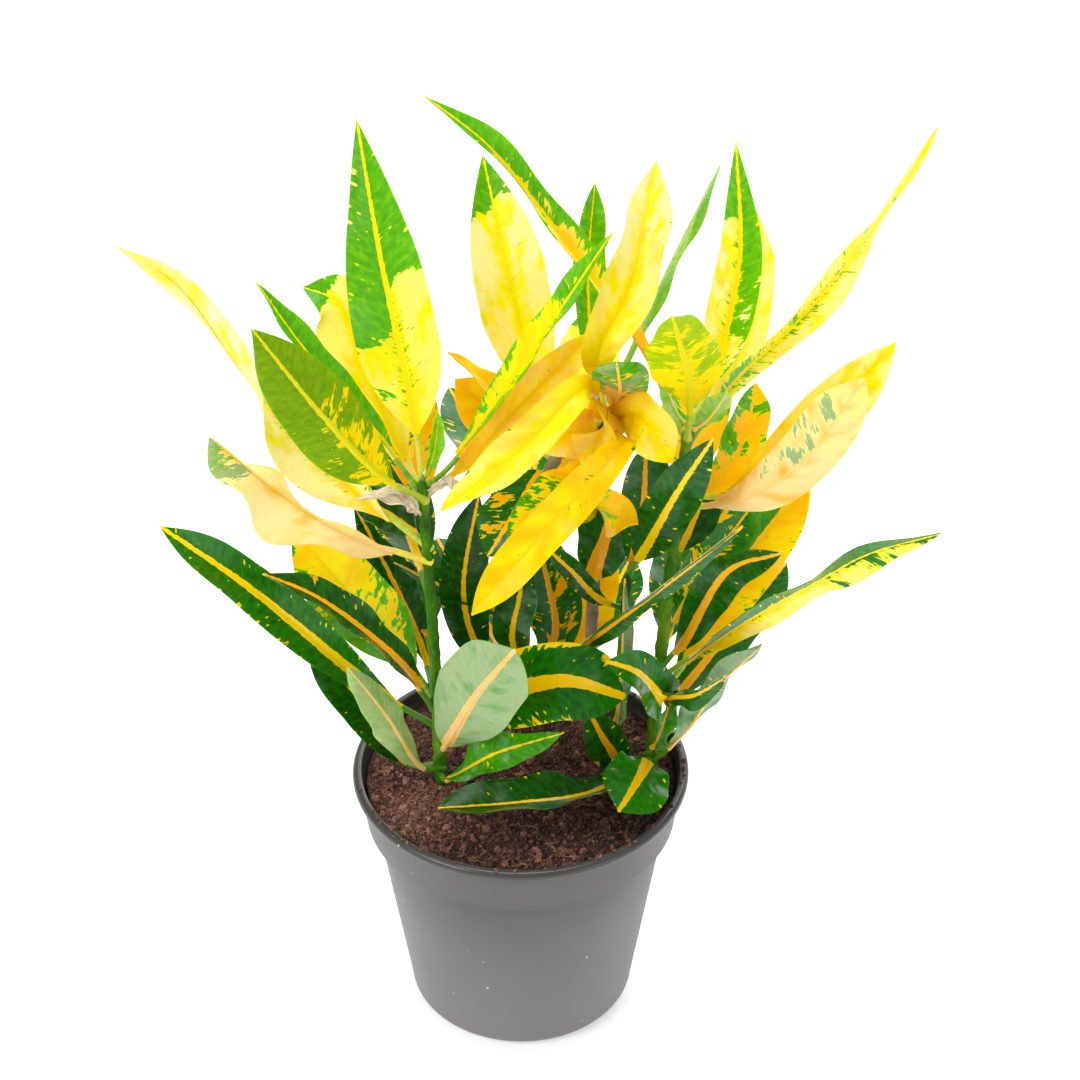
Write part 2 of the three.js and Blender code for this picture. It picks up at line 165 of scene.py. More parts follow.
def newMaterial(name):
    # the material, and addNode for its own tree
    material = bpy.data.materials.new(name)
    material.use_nodes = True
    material.node_tree.nodes.clear()
    return material, partial(addNode, material.node_tree)


def finishMaterial(add, surface):
    add("OutputMaterial", {"Surface": add("BsdfPrincipled", surface)})


# place in metres, tiltDown in degrees, lens and sensor in mm
cameraView = {"lens": 90.93, "sensor": 36, "place": (0.0069, -0.7585, 0.7159), "tiltDown": 34.4}


def setUpCamera():
    bpy.ops.object.camera_add(location=cameraView["place"],
                              rotation=(math.radians(90 - cameraView["tiltDown"]), 0, 0))
    camera = begin("camera")
    camera.data.lens = cameraView["lens"]
    camera.data.sensor_width = cameraView["sensor"]
    camera.data.clip_start = 0.05
    camera.data.clip_end = 20
    bpy.context.scene.camera = camera
    print("camera set")


# name, place, size in metres, power in watts
studioLights = [
    ["keyLight", (-1.25, -0.95, 1.35), 1.0, 15],
    ["fillLight", (1.5, -1.3, 0.45), 0.9, 3],
    ["backLight", (0.5, 1.5, 1.1), 1.6, 20],
    ["topLight", (0.0, 0.1, 2.0), 1.2, 18],
]
studio = {"aim": (0, 0, 0.2), "sky": 0.55, "boardGlow": 0.4, "boardSize": 24}


def setUpStudio():
    for name, place, size, power in studioLights:
        direction = Vector(studio["aim"]) - Vector(place)
        bpy.ops.object.light_add(type="AREA", location=place,
                                 rotation=direction.to_track_quat("-Z", "Y").to_euler())
        lamp = begin(name)
        lamp.data.shape = "DISK"
        lamp.data.size = size
        lamp.data.energy = power
    world = bpy.data.worlds.new("studioAir")
    world.use_nodes = True
    world.node_tree.nodes["Background"].inputs["Color"].default_value = (1, 1, 1, 1)
    world.node_tree.nodes["Background"].inputs["Strength"].default_value = studio["sky"]
    bpy.context.scene.world = world
    bpy.context.scene.view_settings.view_transform = "Standard"
    # painted board, matt white: a plain pale floor, lit from below as on a light table
    material, add = newMaterial("matt_white_board")
    grain = add("TexNoise", {"Vector": add("TexCoord").outputs["Object"], "Scale": 60})
    shade = add("ValToRGB", {"Fac": grain}, [(0.3, "#F4F4F4"), (0.7, "#F7F7F7")])
    finishMaterial(add, {"Base Color": shade, "Roughness": 0.9, "Emission Color": (1, 1, 1, 1),
                         "Emission Strength": studio["boardGlow"]})
    deselectAll()
    bpy.ops.mesh.primitive_plane_add(size=studio["boardSize"], location=(0, 0, 0))
    floor = begin("studio_floor")
    floor.data.materials.append(material)
    print("studio lights", len(studioLights))


# The colouring of a leaf. green: how much of the blade is green at its base, middle and tip.
# side: more green on the left half and less on the right. edge: more green along the margins.
# tip: the share of the length past which all is green, and how much sooner that is on the left half.
# tone: lemon 0 to orange 1, at base and tip. age: lime green 0 to dark green 1. cream: paler yellow,
# at base and tip. rib: half the width of the yellow band on the midrib, in mm. glow: painted light through
# the leaf, how far the underside's colours give way to brighter ones. dashes: green lines on the side
# veins. spots: yellow spots. lit: the brighter colours are painted backlight, in place of the upper side's.
plainLook = {
    "green": (0.05, 0.05, 0.1), "side": 0.0, "edge": 0.0, "tip": (1.5, 0.0), "tone": (0.5, 0.4), "age": 0.5,
    "cream": (0.0, 0.0), "rib": 1.0, "glow": 0.6, "dashes": 0.0, "spots": 0.26, "lit": False,
}
leafLooks = {
    "plain": {},
    "splitTip": {"green": (0.16, 0.1, 0.34), "side": 0.04, "edge": 0.1, "tip": (0.42, 0.1),
                 "tone": (0.3, 0.25), "age": 0.38, "rib": 1.4, "dashes": 1.05, "cream": (0.3, 0.6),
                 "spots": 0.4},
    "lemonTip": {"green": (0.0, 0.05, 0.2), "edge": 0.12, "tip": (0.9, 0.0), "tone": (0.25, 0.1),
                 "age": 0.42, "cream": (0.3, 0.6), "rib": 0.9, "glow": 1.0},
    "paleTip": {"green": (0.0, 0.04, 0.2), "edge": 0.12, "tip": (0.83, 0.03), "tone": (0.25, 0.0),
                "age": 0.36, "cream": (0.8, 1.2), "glow": 1.0},
    "limeDark": {"green": (0.3, 0.75, 0.95), "edge": 0.1, "tone": (0.3, 0.3), "age": 0.6, "rib": 0.7},
    "greenSheen": {"green": (0.7, 0.92, 1.0), "tone": (0.25, 0.2), "age": 0.38, "rib": 0.9, "spots": 0.3},
    "olive": {"green": (0.36, 0.68, 0.98), "side": -0.08, "edge": 0.12, "tone": (0.4, 0.35), "age": 0.52,
              "rib": 1.4, "glow": 1.6, "dashes": 0.9, "spots": 0.2, "lit": True},
    "oliveGold": {"green": (0.34, 0.46, 0.75), "edge": 0.1, "tip": (0.84, 0.0), "tone": (0.4, 0.35),
                  "age": 0.28, "rib": 1.6, "glow": 1.6, "dashes": 0.95, "spots": 0.1, "lit": True},
    "oliveYoung": {"green": (0.2, 0.5, 0.95), "edge": 0.1, "tone": (0.6, 0.4), "rib": 0.8, "dashes": 0.5},
    "cream": {"green": (0.3, 0.04, 0.04), "edge": 0.08, "tone": (0.4, 0.1), "age": 0.35, "cream": (0.8, 1.1),
              "rib": 0.9, "glow": 0.4, "dashes": 0.85},
    "peach": {"green": (0.0, 0.0, 0.8), "edge": -0.05, "tone": (0.7, 0.45), "rib": 0.9, "glow": 0.1,
              "cream": (0.2, 0.7)},
    "yellowLow": {"green": (0.6, 0.32, 0.12), "side": 0.1, "edge": 0.34, "tone": (0.45, 0.4), "age": 0.4,
                  "rib": 0.7, "glow": 0.8, "dashes": 0.4},
    "mottledGold": {"green": (0.3, 0.4, 0.5), "side": 0.05, "edge": 0.1, "tone": (0.65, 0.55), "rib": 1.3,
                    "glow": 0.7, "dashes": 0.6},
    "featherGold": {"green": (0.3, 0.4, 0.3), "edge": 0.05, "tone": (0.6, 0.55), "age": 0.3, "dashes": 1.0},
    "gold": {"green": (0.04, 0.12, 0.16), "edge": 0.2, "tone": (0.52, 0.36), "age": 0.7,
             "cream": (0.0, 0.35), "rib": 0.9, "glow": 1.5, "dashes": 0.5},
    "goldFleck": {"green": (0.1, 0.14, 0.08), "side": 0.04, "edge": 0.26, "tone": (0.55, 0.5), "age": 0.85,
                  "rib": 0.9, "glow": 1.5, "dashes": 0.6},
    "goldPlain": {"green": (0.2, 0.0, 0.0), "edge": 0.05, "tone": (0.5, 0.3), "cream": (0.0, 0.7),
                  "rib": 0.9},
    "goldPale": {"green": (0.0, 0.02, 0.12), "edge": 0.22, "tone": (0.6, 0.0), "age": 0.55,
                 "cream": (0.0, 1.3), "rib": 0.8, "glow": 1.2},
    "orange": {"green": (0.02, 0.02, 0.1), "edge": 0.05, "tone": (0.62, 0.5), "rib": 1.2, "glow": 0.8},
    "paleFleck": {"green": (0.05, 0.06, 0.2), "edge": 0.2, "tone": (0.25, 0.0), "age": 0.6,
                  "cream": (0.6, 0.9), "rib": 0.8, "glow": 0.75, "dashes": 0.35},
    "lemonFleck": {"green": (0.55, 0.24, 0.36), "edge": -0.12, "tone": (0.3, 0.15), "age": 0.36, "rib": 0.8,
                   "dashes": 1.0, "cream": (0.5, 0.9)},
    "halfGreen": {"green": (0.1, 0.3, 0.8), "side": -0.12, "edge": 0.42, "tip": (0.84, 0.0),
                  "tone": (0.55, 0.3), "age": 0.42, "rib": 1.2, "cream": (0.4, 0.2)},
    "halfPale": {"green": (0.35, 0.4, 0.7), "side": -0.22, "tip": (0.72, 0.0), "tone": (0.25, 0.2),
                 "age": 0.3, "cream": (1.0, 0.6), "rib": 1.3, "dashes": 0.8},
    "youngGreen": {"green": (0.8, 0.85, 0.95), "edge": 0.05, "tone": (0.3, 0.3), "age": 0.32, "rib": 0.7,
                   "glow": 0.3, "spots": 0.2},
    "greenEnds": {"green": (0.62, 0.25, 0.9), "side": -0.12, "edge": 0.3, "tip": (0.85, 0.0),
                  "tone": (0.4, 0.3), "age": 0.4, "rib": 1.2},
    "flapPeach": {"green": (0.0, 0.32, 0.16), "side": -0.14, "edge": -0.04, "tone": (0.8, 0.45), "age": 0.55,
                  "rib": 0.8, "glow": 0.08},
    "broadSplit": {"green": (0.52, 0.5, 0.45), "side": 0.24, "edge": 0.1, "tone": (0.55, 0.42), "age": 0.55,
                   "rib": 2.4, "glow": 0.4, "dashes": 0.4, "spots": 0.5},
    "lowSplit": {"green": (0.6, 0.55, 0.7), "side": 0.28, "tone": (0.5, 0.3), "age": 0.75,
                 "cream": (0.5, 0.4), "glow": 0.2, "dashes": 0.3},
    "mottled": {"green": (0.6, 0.5, 0.62), "edge": 0.12, "tone": (0.6, 0.55), "age": 0.7, "rib": 1.4,
                "glow": 0.3, "spots": 0.35},
    "mottledDark": {"green": (0.7, 0.6, 0.72), "side": 0.05, "edge": 0.08, "tone": (0.75, 0.65), "age": 0.85,
                    "rib": 1.7, "glow": 0.15, "spots": 0.4},
    "bigMottle": {"green": (0.85, 0.82, 1.0), "side": -0.08, "edge": -0.4, "tone": (0.6, 0.52), "age": 0.85,
                  "rib": 4.6, "glow": 0.1, "spots": 0.3},
    "darkSpotted": {"green": (0.95, 0.84, 0.9), "side": -0.04, "edge": -0.16, "tone": (0.6, 0.5),
                    "age": 0.88, "rib": 1.9, "glow": 0.1, "spots": 0.4},
    "longDark": {"green": (1.0, 0.95, 1.0), "side": -0.05, "edge": -0.2, "tone": (0.45, 0.35), "age": 0.8,
                 "rib": 2.3, "glow": 0.1, "spots": 0.36},
    "dark": {"green": (1.0, 0.96, 1.0), "edge": -0.12, "tone": (0.6, 0.5), "age": 0.92, "rib": 1.4,
             "glow": 0.1, "spots": 0.28},
    "darkPlain": {"green": (1.0, 1.0, 1.0), "edge": -0.12, "tone": (0.4, 0.35), "age": 0.9, "rib": 1.8,
                  "glow": 0.1, "spots": 0.3},
    "darkBand": {"green": (1.0, 0.96, 1.0), "edge": -0.16, "tone": (0.62, 0.5), "age": 0.78, "rib": 2.5,
                 "glow": 0.1, "spots": 0.32},
    "darkOrange": {"green": (1.0, 0.88, 0.95), "edge": -0.18, "tone": (0.85, 0.75), "age": 0.88, "rib": 2.0,
                   "glow": 0.15, "spots": 0.3},
    "arrowOrange": {"green": (1.0, 0.85, 1.0), "tone": (0.95, 0.85), "age": 0.9, "rib": 3.4, "glow": 0.1},
    "oldOlive": {"green": (1.0, 0.85, 0.95), "tone": (0.5, 0.5), "age": 0.62, "rib": 0.9, "glow": 0.7},
    "brown": {"green": (1.0, 0.9, 0.9), "edge": -0.06, "tone": (0.8, 0.8), "age": 0.8, "glow": 0.1},
    "paleUnder": {"green": (1.0, 0.97, 0.97), "tone": (0.7, 0.7), "age": 0.4, "glow": 0.0, "spots": 0.1},
    "paleOrange": {"green": (1.0, 1.0, 1.0), "tone": (0.9, 0.85), "age": 0.55, "rib": 2.3, "glow": 0.0,
                   "spots": 0.0},
    "bud": {"green": (0.9, 0.9, 0.95), "tone": (0.3, 0.3), "age": 0.2, "rib": 0.3, "glow": 0.4,
            "spots": 0.0},
}

# Each cutting: its radius at the soil and below the top bud, and the points that its stem passes, in mm.
cuttings = {
    "left": {"radius": (2.2, 1.7), "route": [(-28.5, -3, 95), (-30, 1, 155), (-32.5, 3, 219)]},
    "back": {"radius": (2.6, 2), "route": [(0, 36, 95), (3, 31, 180), (14, 25, 218)]},
    "centre": {"radius": (2.4, 1.8), "route": [(24, 26, 95), (26, 23, 170), (28, 17, 237)]},
    "low": {"radius": (2, 1.5), "route": [(33, 11, 95), (35, 9, 130), (37, 7, 178)]},
    "right": {"radius": (2.3, 1.8), "route": [(46, 0, 95), (50, 4, 160), (56, 8, 236)]},
}
# Each leaf: name, look, height on the stem where it grows, width, how far along the blade its
# widest place is, roll near the base and near the tip, fold of its halves, height of its edge
# waves, and the points that its midrib passes on the way to the tip. In mm and degrees.
leafTable = {
    "left": [
        ["tall_face", "splitTip", 217, 28, 0.3, -25, -10, 12, 0.8,
         (-36, 10, 248), (-45, 26, 290), (-52, 40, 333)],
        ["tall_behind", "lemonTip", 213, 26, 0.5, -30, -25, 12, 1.2,
         (-44, 22, 228), (-55, 40, 249), (-61, 46, 262), (-73, 48, 267)],
        ["tall_curl", "limeDark", 209, 19, 0.45, 0, -15, 15, 1,
         (-45, 36, 229), (-56, 60, 255), (-68, 60, 263)],
        ["narrow_up", "greenSheen", 215, 12, 0.45, -5, -5, 28, 0.6,
         (-53, 12, 240), (-70, 20, 258), (-86, 26, 281)],
        ["olive_front", "olive", 212, 25, 0.42, 80, 90, 10, 0.8,
         (-46, -12, 231), (-63, -32, 268), (-80, -46, 305)],
        ["long_twist", "cream", 190, 24, 0.3, -75, 80, 12, 1.2,
         (-56, 0, 217), (-74, -4, 242), (-90, -8, 271), (-105, -14, 301), (-123, -18, 318)],
        ["peach_wave", "peach", 185, 25, 0.66, 165, 170, 26, 4.5,
         (-57, -6, 202), (-79, -8, 220), (-101, -6, 241)],
        ["yellow_low", "yellowLow", 127, 26, 0.45, -65, -65, 12, 1,
         (-43, 7, 147), (-60, 6, 172), (-77, 4, 200)],
        ["dark_back", "dark", 130, 15, 0.45, -5, -5, 15, 0.6,
         (-36, 14, 146), (-46, 24, 166), (-58, 32, 190)],
        ["long_dark", "longDark", 117, 17, 0.55, -60, -45, 12, 1,
         (-51, -8, 140), (-88, -16, 186), (-117, -22, 217)],
        ["shadowed", "darkOrange", 125, 15, 0.5, -40, -25, 24, 0.8,
         (-43, -16, 160), (-65, -22, 187), (-84, -26, 201)],
        ["rim_leaf", "dark", 101, 18, 0.5, -65, -65, 10, 0.8,
         (-41, -4, 104), (-56, -8, 136), (-73, -8, 159)],
        ["pale_strap", "paleUnder", 101, 13, 0.45, 95, 105, 14, 1.2,
         (-36, -12, 109), (-46, -20, 137), (-58, -28, 164)],
        ["pale_short", "paleOrange", 106, 29, 0.55, -55, -60, 8, 1.5,
         (-24, -19, 127), (-14, -36, 159), (-1, -50, 188)],
        ["big_mottle", "bigMottle", 110, 27, 0.6, 75, 45, 8, 0.8,
         (-10, -18, 142), (14, -25, 156), (36, -22, 147)],
        ["wavy_low", "oldOlive", 100, 14, 0.4, 20, 95, 15, 1.5,
         (-25, -14, 105), (-8, -24, 124), (15, -28, 136)],
        ["small_back", "dark", 194, 14, 0.45, -30, -30, 12, 0.5,
         (-41, 12, 196), (-48, 16, 199), (-58, 20, 203)],
        ["arch_green", "greenEnds", 216, 12, 0.45, 20, 25, 26, 0.8,
         (-21, 2, 229), (2, 8, 262), (30, 10, 308)],
        ["arch_gold", "gold", 211, 15, 0.5, 70, 75, 15, 2.5, (-16, 4, 227), (4, 10, 248), (24, 14, 269)],
        ["bud", "bud", 216, 6, 0.45, 170, 170, 20, 0, (-28, -1, 232), (-26, -5, 250)],
        ["back_mid", "darkSpotted", 172, 24, 0.45, 0, 0, 14, 1, (-42, 36, 184), (-56, 66, 198)],
        ["back_low", "darkOrange", 145, 25, 0.45, 0, 10, 14, 1, (-40, 44, 152), (-48, 80, 160)],
        ["back_high", "mottledGold", 198, 22, 0.45, -5, 5, 14, 1, (-38, 36, 218), (-44, 62, 238)],
    ],
    "back": [
        ["pale_pillar", "paleTip", 217, 25, 0.4, -35, -30, 10, 0.8,
         (5, 36, 238), (-4, 46, 276), (-12, 54, 313)],
        ["orange_thin", "orange", 212, 10, 0.5, -15, 5, 20, 0.6, (-2, 29, 231), (-24, 34, 250)],
        ["orange_hidden", "orange", 212, 20, 0.45, -50, -50, 12, 0.6, (-4, 30, 223), (-22, 36, 238)],
        ["mottle_hang", "mottledDark", 208, 21, 0.5, -25, -20, 12, 1.2,
         (6, 18, 210), (-1, 10, 202), (-11, 4, 187)],
        ["dark_column", "dark", 108, 17, 0.5, -120, -155, 12, 0.6,
         (-14, 27, 128), (-20, 22, 160), (-14, 20, 202)],
        ["dark_deep", "dark", 116, 16, 0.45, 145, 125, 12, 0.6, (-3, 24, 138), (0, 24, 158), (3, 24, 180)],
        ["mottle_deep", "mottledDark", 108, 22, 0.45, 0, 15, 12, 0.6,
         (12, 40, 126), (10, 45, 146), (3, 50, 171)],
        ["gold_deep", "orange", 112, 19, 0.45, 50, 55, 12, 0.6, (20, 48, 119), (26, 54, 136), (32, 62, 156)],
        ["behind_stem", "dark", 132, 13, 0.45, -35, -25, 20, 0.6,
         (-14, 30, 150), (-28, 25, 160), (-44, 22, 172)],
        ["back_low", "darkOrange", 112, 26, 0.5, 0, 0, 14, 1, (-16, 62, 122), (-32, 90, 136)],
        ["back_low_right", "darkSpotted", 106, 26, 0.5, 0, 0, 14, 1, (26, 66, 112), (42, 98, 122)],
        ["back_fan", "mottled", 156, 26, 0.5, 0, 0, 14, 1.2, (5, 70, 170), (4, 102, 182)],
        ["back_fan_left", "mottledDark", 176, 24, 0.45, 0, 0, 14, 1, (-12, 56, 196), (-26, 84, 206)],
        ["back_fan_right", "mottledGold", 190, 24, 0.45, 0, 0, 14, 1, (22, 52, 206), (30, 82, 214)],
    ],
    "centre": [
        ["gold_front", "goldFleck", 229, 14.5, 0.6, -30, -15, 12, 2.4,
         (34, -12, 243), (12, -34, 228), (-15, -52, 203)],
        ["gold_mid", "gold", 232, 20, 0.5, 165, 0, 10, 1.5, (29, 4, 245), (26, -6, 240), (21, -10, 232)],
        ["gold_crinkle", "gold", 235, 14, 0.55, -45, -15, 15, 3,
         (21, -6, 260), (1, -22, 247), (-25, -34, 231)],
        ["gold_tall", "goldPale", 236, 18, 0.55, 50, 80, 12, 2.6,
         (26, 6, 266), (36, 14, 287), (44, 27, 324)],
        ["olive_crown", "oliveYoung", 236, 19, 0.5, -20, 0, 8, 0.8, (33, 4, 252), (31, -18, 277)],
        ["gold_drop", "gold", 231, 18, 0.5, 90, 40, 10, 1.2, (39, -4, 248), (49, -26, 244)],
        ["gold_inner", "mottledGold", 228, 16, 0.5, -20, -20, 14, 1.5,
         (22, 5, 222), (10, -3, 214), (-4, -10, 203)],
        ["grey_back", "youngGreen", 236, 12, 0.5, 15, 15, 16, 0.4,
         (24, 34, 255), (23, 44, 278), (25, 50, 305)],
        ["edge_on", "youngGreen", 234, 11, 0.5, 120, 120, 20, 0.4,
         (39, 32, 255), (51, 40, 281), (66, 48, 312)],
        ["gold_left", "gold", 228, 17, 0.5, -85, -30, 10, 1.2, (19, 4, 237), (7, -8, 237)],
        ["mottle_under", "featherGold", 192, 19, 0.5, -170, -300, 10, 1, (26, -2, 211), (39, -16, 214)],
        ["dark_arrow", "arrowOrange", 159, 20, 0.5, 115, 110, 10, 0.6,
         (26, 18, 172), (30, 15, 190), (32, 14, 207)],
        ["back_up", "lemonTip", 212, 22, 0.45, 0, 0, 14, 1, (24, 46, 230), (23, 74, 243)],
        ["edge_strip", "darkOrange", 135, 11, 0.5, 160, 170, 20, 0.5,
         (20, -8, 157), (42, -23, 188), (72, -34, 225)],
    ],
    "low": [
        ["dark_blade", "darkPlain", 176, 17, 0.45, 125, 125, 12, 0.6,
         (43, -6, 199), (52, -16, 227), (62, -24, 252)],
        ["dark_round", "darkOrange", 172, 18, 0.6, 115, 130, 8, 0.5,
         (41, 5, 200), (42, 6, 216), (42, 6, 231)],
        ["dark_strap", "dark", 162, 8, 0.5, -75, -75, 15, 0.4, (26, 0, 173), (18, -4, 186), (8, -8, 200)],
        ["dark_middle", "darkBand", 102, 18, 0.45, -100, -95, 12, 0.5,
         (35, 0, 127), (36, 0, 152), (36, 1, 180)],
        ["low_fold", "darkOrange", 100, 15, 0.45, -125, -130, 14, 0.5,
         (35, 0, 101), (29, -4, 115), (24, -6, 128)],
    ],
    "right": [
        ["long_right", "lemonFleck", 226, 12, 0.35, 105, 125, 18, 2.4,
         (69, 2, 256), (90, 3, 280), (107, 5, 304), (130, 10, 344)],
        ["long_left", "halfGreen", 234, 13, 0.5, -5, -5, 28, 0.8,
         (40, 20, 261), (11, 34, 298), (-9, 41, 322), (-30, 46, 338)],
        ["tall_right", "halfPale", 235, 16, 0.32, 20, 25, 10, 0.8,
         (65, 18, 253), (72, 28, 289), (70, 38, 326)],
        ["pale_right", "paleFleck", 231, 15, 0.45, 55, 55, 12, 0.6,
         (72, 34, 243), (79, 44, 268), (79, 50, 294)],
        ["olive_small", "oliveGold", 234, 23, 0.35, 15, 25, 8, 0.8,
         (55, -8, 262), (49, -34, 296), (46, -52, 313)],
        ["bud_left", "bud", 235, 8, 0.45, 115, 105, 15, 0.3, (51, 2, 246), (46, -4, 262)],
        ["bud_right", "bud", 235, 9, 0.45, -40, -30, 15, 0.3, (62, 0, 245), (67, -8, 260)],
        ["folded_right", "goldPlain", 209, 19, 0.5, 80, 85, 14, 1.2,
         (74, -6, 220), (95, -8, 245), (120, -8, 278)],
        ["folded_flap", "flapPeach", 205, 20, 0.55, -95, -60, 20, 2.2,
         (74, -14, 223), (93, -24, 246), (107, -34, 281)],
        ["broad_right", "broadSplit", 127, 22, 0.5, 50, 55, 8, 0.8,
         (62, 8, 147), (79, 15, 179), (99, 20, 210)],
        ["curl_tip", "darkOrange", 138, 15, 0.5, 120, 100, 20, 1.2,
         (57, -6, 160), (69, -14, 193), (86, -27, 210)],
        ["low_right", "lowSplit", 134, 14, 0.55, 125, 120, 18, 1.5,
         (74, -16, 172), (99, -28, 200), (114, -33, 214), (135, -38, 225)],
        ["brown_curl", "brown", 102, 13, 0.5, -25, -30, 20, 1.2,
         (58, -12, 125), (67, -20, 150), (81, -28, 174)],
        ["front_dark", "dark", 100, 20, 0.6, 5, 0, 26, 1.2, (24, -26, 108), (0, -36, 112), (-28, -38, 111)],
        ["front_curl", "darkBand", 104, 24, 0.55, -20, -25, 12, 1, (42, -18, 109), (34, -36, 108)],
        ["saddle", "darkBand", 128, 17, 0.5, -110, -75, 14, 1.2,
         (49, -18, 142), (40, -30, 163), (29, -34, 171)],
        ["saddle_wing", "darkSpotted", 130, 10, 0.5, 100, 160, 20, 1,
         (52, -18, 144), (60, -27, 152), (69, -33, 164)],
        ["spear", "oldOlive", 103, 12, 0.45, -120, -110, 14, 0.5, (50, -9, 122), (54, -13, 146)],
        ["gold_side", "mottledGold", 205, 16, 0.5, 60, 70, 12, 1.2,
         (69, 10, 217), (76, 16, 230), (79, 22, 245)],
        ["dark_hidden", "dark", 182, 16, 0.45, 50, 55, 12, 0.5, (60, 14, 197), (64, 18, 214)],
        ["mottle_hidden", "mottled", 150, 18, 0.45, 65, 65, 12, 0.8, (62, 10, 174), (78, 18, 196)],
        ["back_mid", "mottled", 165, 25, 0.45, 0, 0, 14, 1, (72, 38, 182), (86, 64, 196)],
        ["back_low", "darkOrange", 116, 26, 0.5, 0, 0, 14, 1, (74, 40, 126), (98, 68, 140)],
        ["back_high", "mottledGold", 203, 22, 0.45, 0, 5, 14, 1, (62, 42, 220), (66, 70, 232)],
        ["back_inner", "darkSpotted", 140, 24, 0.5, 0, 0, 14, 1, (58, 46, 150), (66, 80, 162)],
    ],
}

# Dried bud scales, papery and beige, left hanging below the crown of the left cutting.
dryScales = {
    "left": [
        ["scale_left", "plain", 203, 7, 0.5, -80, 5, 25, 1.2, (-40, -8, 219), (-54, -10, 220)],
        ["scale_right", "plain", 212, 5, 0.5, 105, 160, 30, 1.2, (-23, -4, 224), (-20, -8, 220)],
    ],
}
leafForm = {  # in mm, and in shares of the leaf's length or half width
    "across": 12, "along": 60, "crowding": 1.3, "thickness": 0.55, "marginThinning": 0.4,
    "thinnestHalf": 0.22, "petioleShare": 0.16, "longestPetiole": 18, "petioleHalf": 1.2, "rollStart": 0.35,
    "rollSpan": 0.5, "wobble": 0.03, "wobbleTurns": 9, "edgeWaves": 2, "waveLag": 2, "waveReach": 1.6,
    "fineWave": 0.5, "fineShare": 0.2, "fineTurns": (2.4, 3.8), "fineLag": 1.7, "fineReach": 2.2,
    "foldReach": 1.35, "grooveDepth": 0.16, "grooveHalf": 0.9, "stalkRadius": 1.1, "ribRadius": 0.8,
    "ribTip": 0.35, "ribFlatness": 0.45, "ribReach": 0.93, "stalkDrop": 0.22, "ribBite": 0.05,
    "bladeStart": 0.1, "jointFlare": 0.5, "jointReach": 3, "ribSides": 8, "ribSpans": 36, "smoothAngle": 50,
}
# veinSlant: mm along the leaf for a mm across; ribNarrowing: how much of the band is gone at the tip
leafPaint = {"veinSlant": 0.65, "stalkGreen": 0.3, "tipPush": 1.1, "blur": 0.06, "ribNarrowing": 0.72,
             "dashFade": 5, "spotsInside": 0.45, "spotsAtMargin": 0.65, "creamFrom": 0.2, "creamTo": 0.9}


def curvePoints(points, shares):
    # a smooth curve through the points, even in the number of points and not in length
    spans = len(points) - 1
    held = np.vstack([2 * points[0] - points[1], points, 2 * points[-1] - points[-2]])
    place = np.clip(shares, 0, 1) * spans
    span = np.minimum(place.astype(int), spans - 1)
    rest = (place - span)[:, None]
    a, b, c, d = held[span], held[span + 1], held[span + 2], held[span + 3]
    leave, arrive = (c - a) / 2, (d - b) / 2
    return (b + leave * rest + (3 * (c - b) - 2 * leave - arrive) * rest ** 2
            + (2 * (b - c) + leave + arrive) * rest ** 3)


def routeThrough(points):
    # the curve sampled by its length: its points, its shares, the length up to each, and its whole length
    points = np.array(points, dtype=float)
    shares = np.linspace(0, 1, 401)
    line = curvePoints(points, shares)
    gone = np.concatenate([[0], np.cumsum(np.linalg.norm(np.diff(line, axis=0), axis=1))])
    return {"points": points, "shares": shares, "gone": gone, "length": gone[-1]}


def alongRoute(route, places):
    # the points and directions at these shares of the length
    places = np.clip(places, 0, 1)
    step = 0.0005
    spots = [curvePoints(route["points"], np.interp(p * route["length"], route["gone"], route["shares"]))
             for p in (places, np.clip(places - step, 0, 1), np.clip(places + step, 0, 1))]
    tangent = spots[2] - spots[1]
    return spots[0], tangent / np.linalg.norm(tangent, axis=1)[:, None]


def stemAtHeight(route, height):
    line = curvePoints(route["points"], route["shares"])
    share = np.interp(height, line[:, 2], route["shares"])
    return curvePoints(route["points"], np.array([share]))[0]


def bladeOutline(along, widest):
    # half the width as a share of the widest; a blade that is widest far out has a blunter tip
    rising = np.sin(np.pi / 2 * np.clip(along / widest, 0, 1)) ** 0.8
    beyond = np.clip((along - widest) / (1 - widest), 0, 1)
    bluntness = 1 + 4 * (widest - 0.28)
    return np.where(along < widest, rising, np.cos(np.pi / 2 * beyond ** bluntness))


def wavePhase(name):
    # the same for the leaf of one name each time
    return sum(ord(letter) * (i + 1) for i, letter in enumerate(name)) % 628 / 100


def makeLeafBlank(materials):
    # a flat blade 2 wide and 2 long with a level face at 0 and one at -1, and a round rib beside it
    deselectAll()
    bpy.ops.mesh.primitive_grid_add(x_subdivisions=leafForm["across"], y_subdivisions=leafForm["along"],
                                    size=2)
    blade = begin("leafBlank")
    for material in materials:
        blade.data.materials.append(material)
    applyModifier(blade, "SOLIDIFY", thickness=1, offset=-1, material_offset=1, material_offset_rim=0)
    deselectAll()
    bpy.ops.mesh.primitive_cylinder_add(vertices=leafForm["ribSides"], radius=1, depth=2,
                                        rotation=(-math.pi / 2, 0, 0))
    rib = begin("ribBlank")
    bpy.ops.object.transform_apply(rotation=True)
    cutRod(rib, leafForm["ribSpans"])
    for material in materials:
        rib.data.materials.append(material)
    for face in rib.data.polygons:
        underBlade = (face.center.y + 1) / 2 > leafForm["petioleShare"] + 0.02
        face.material_index = 1 if underBlade else 2
    for piece, part in ((blade, 0.0), (rib, 1.0)):
        layer = piece.data.attributes.new("blankPart", "FLOAT", "POINT")
        layer.data.foreach_set("value", np.full(len(piece.data.vertices), part))
    selectOnly(blade)
    rib.select_set(True)
    bpy.ops.object.join()
    return blade


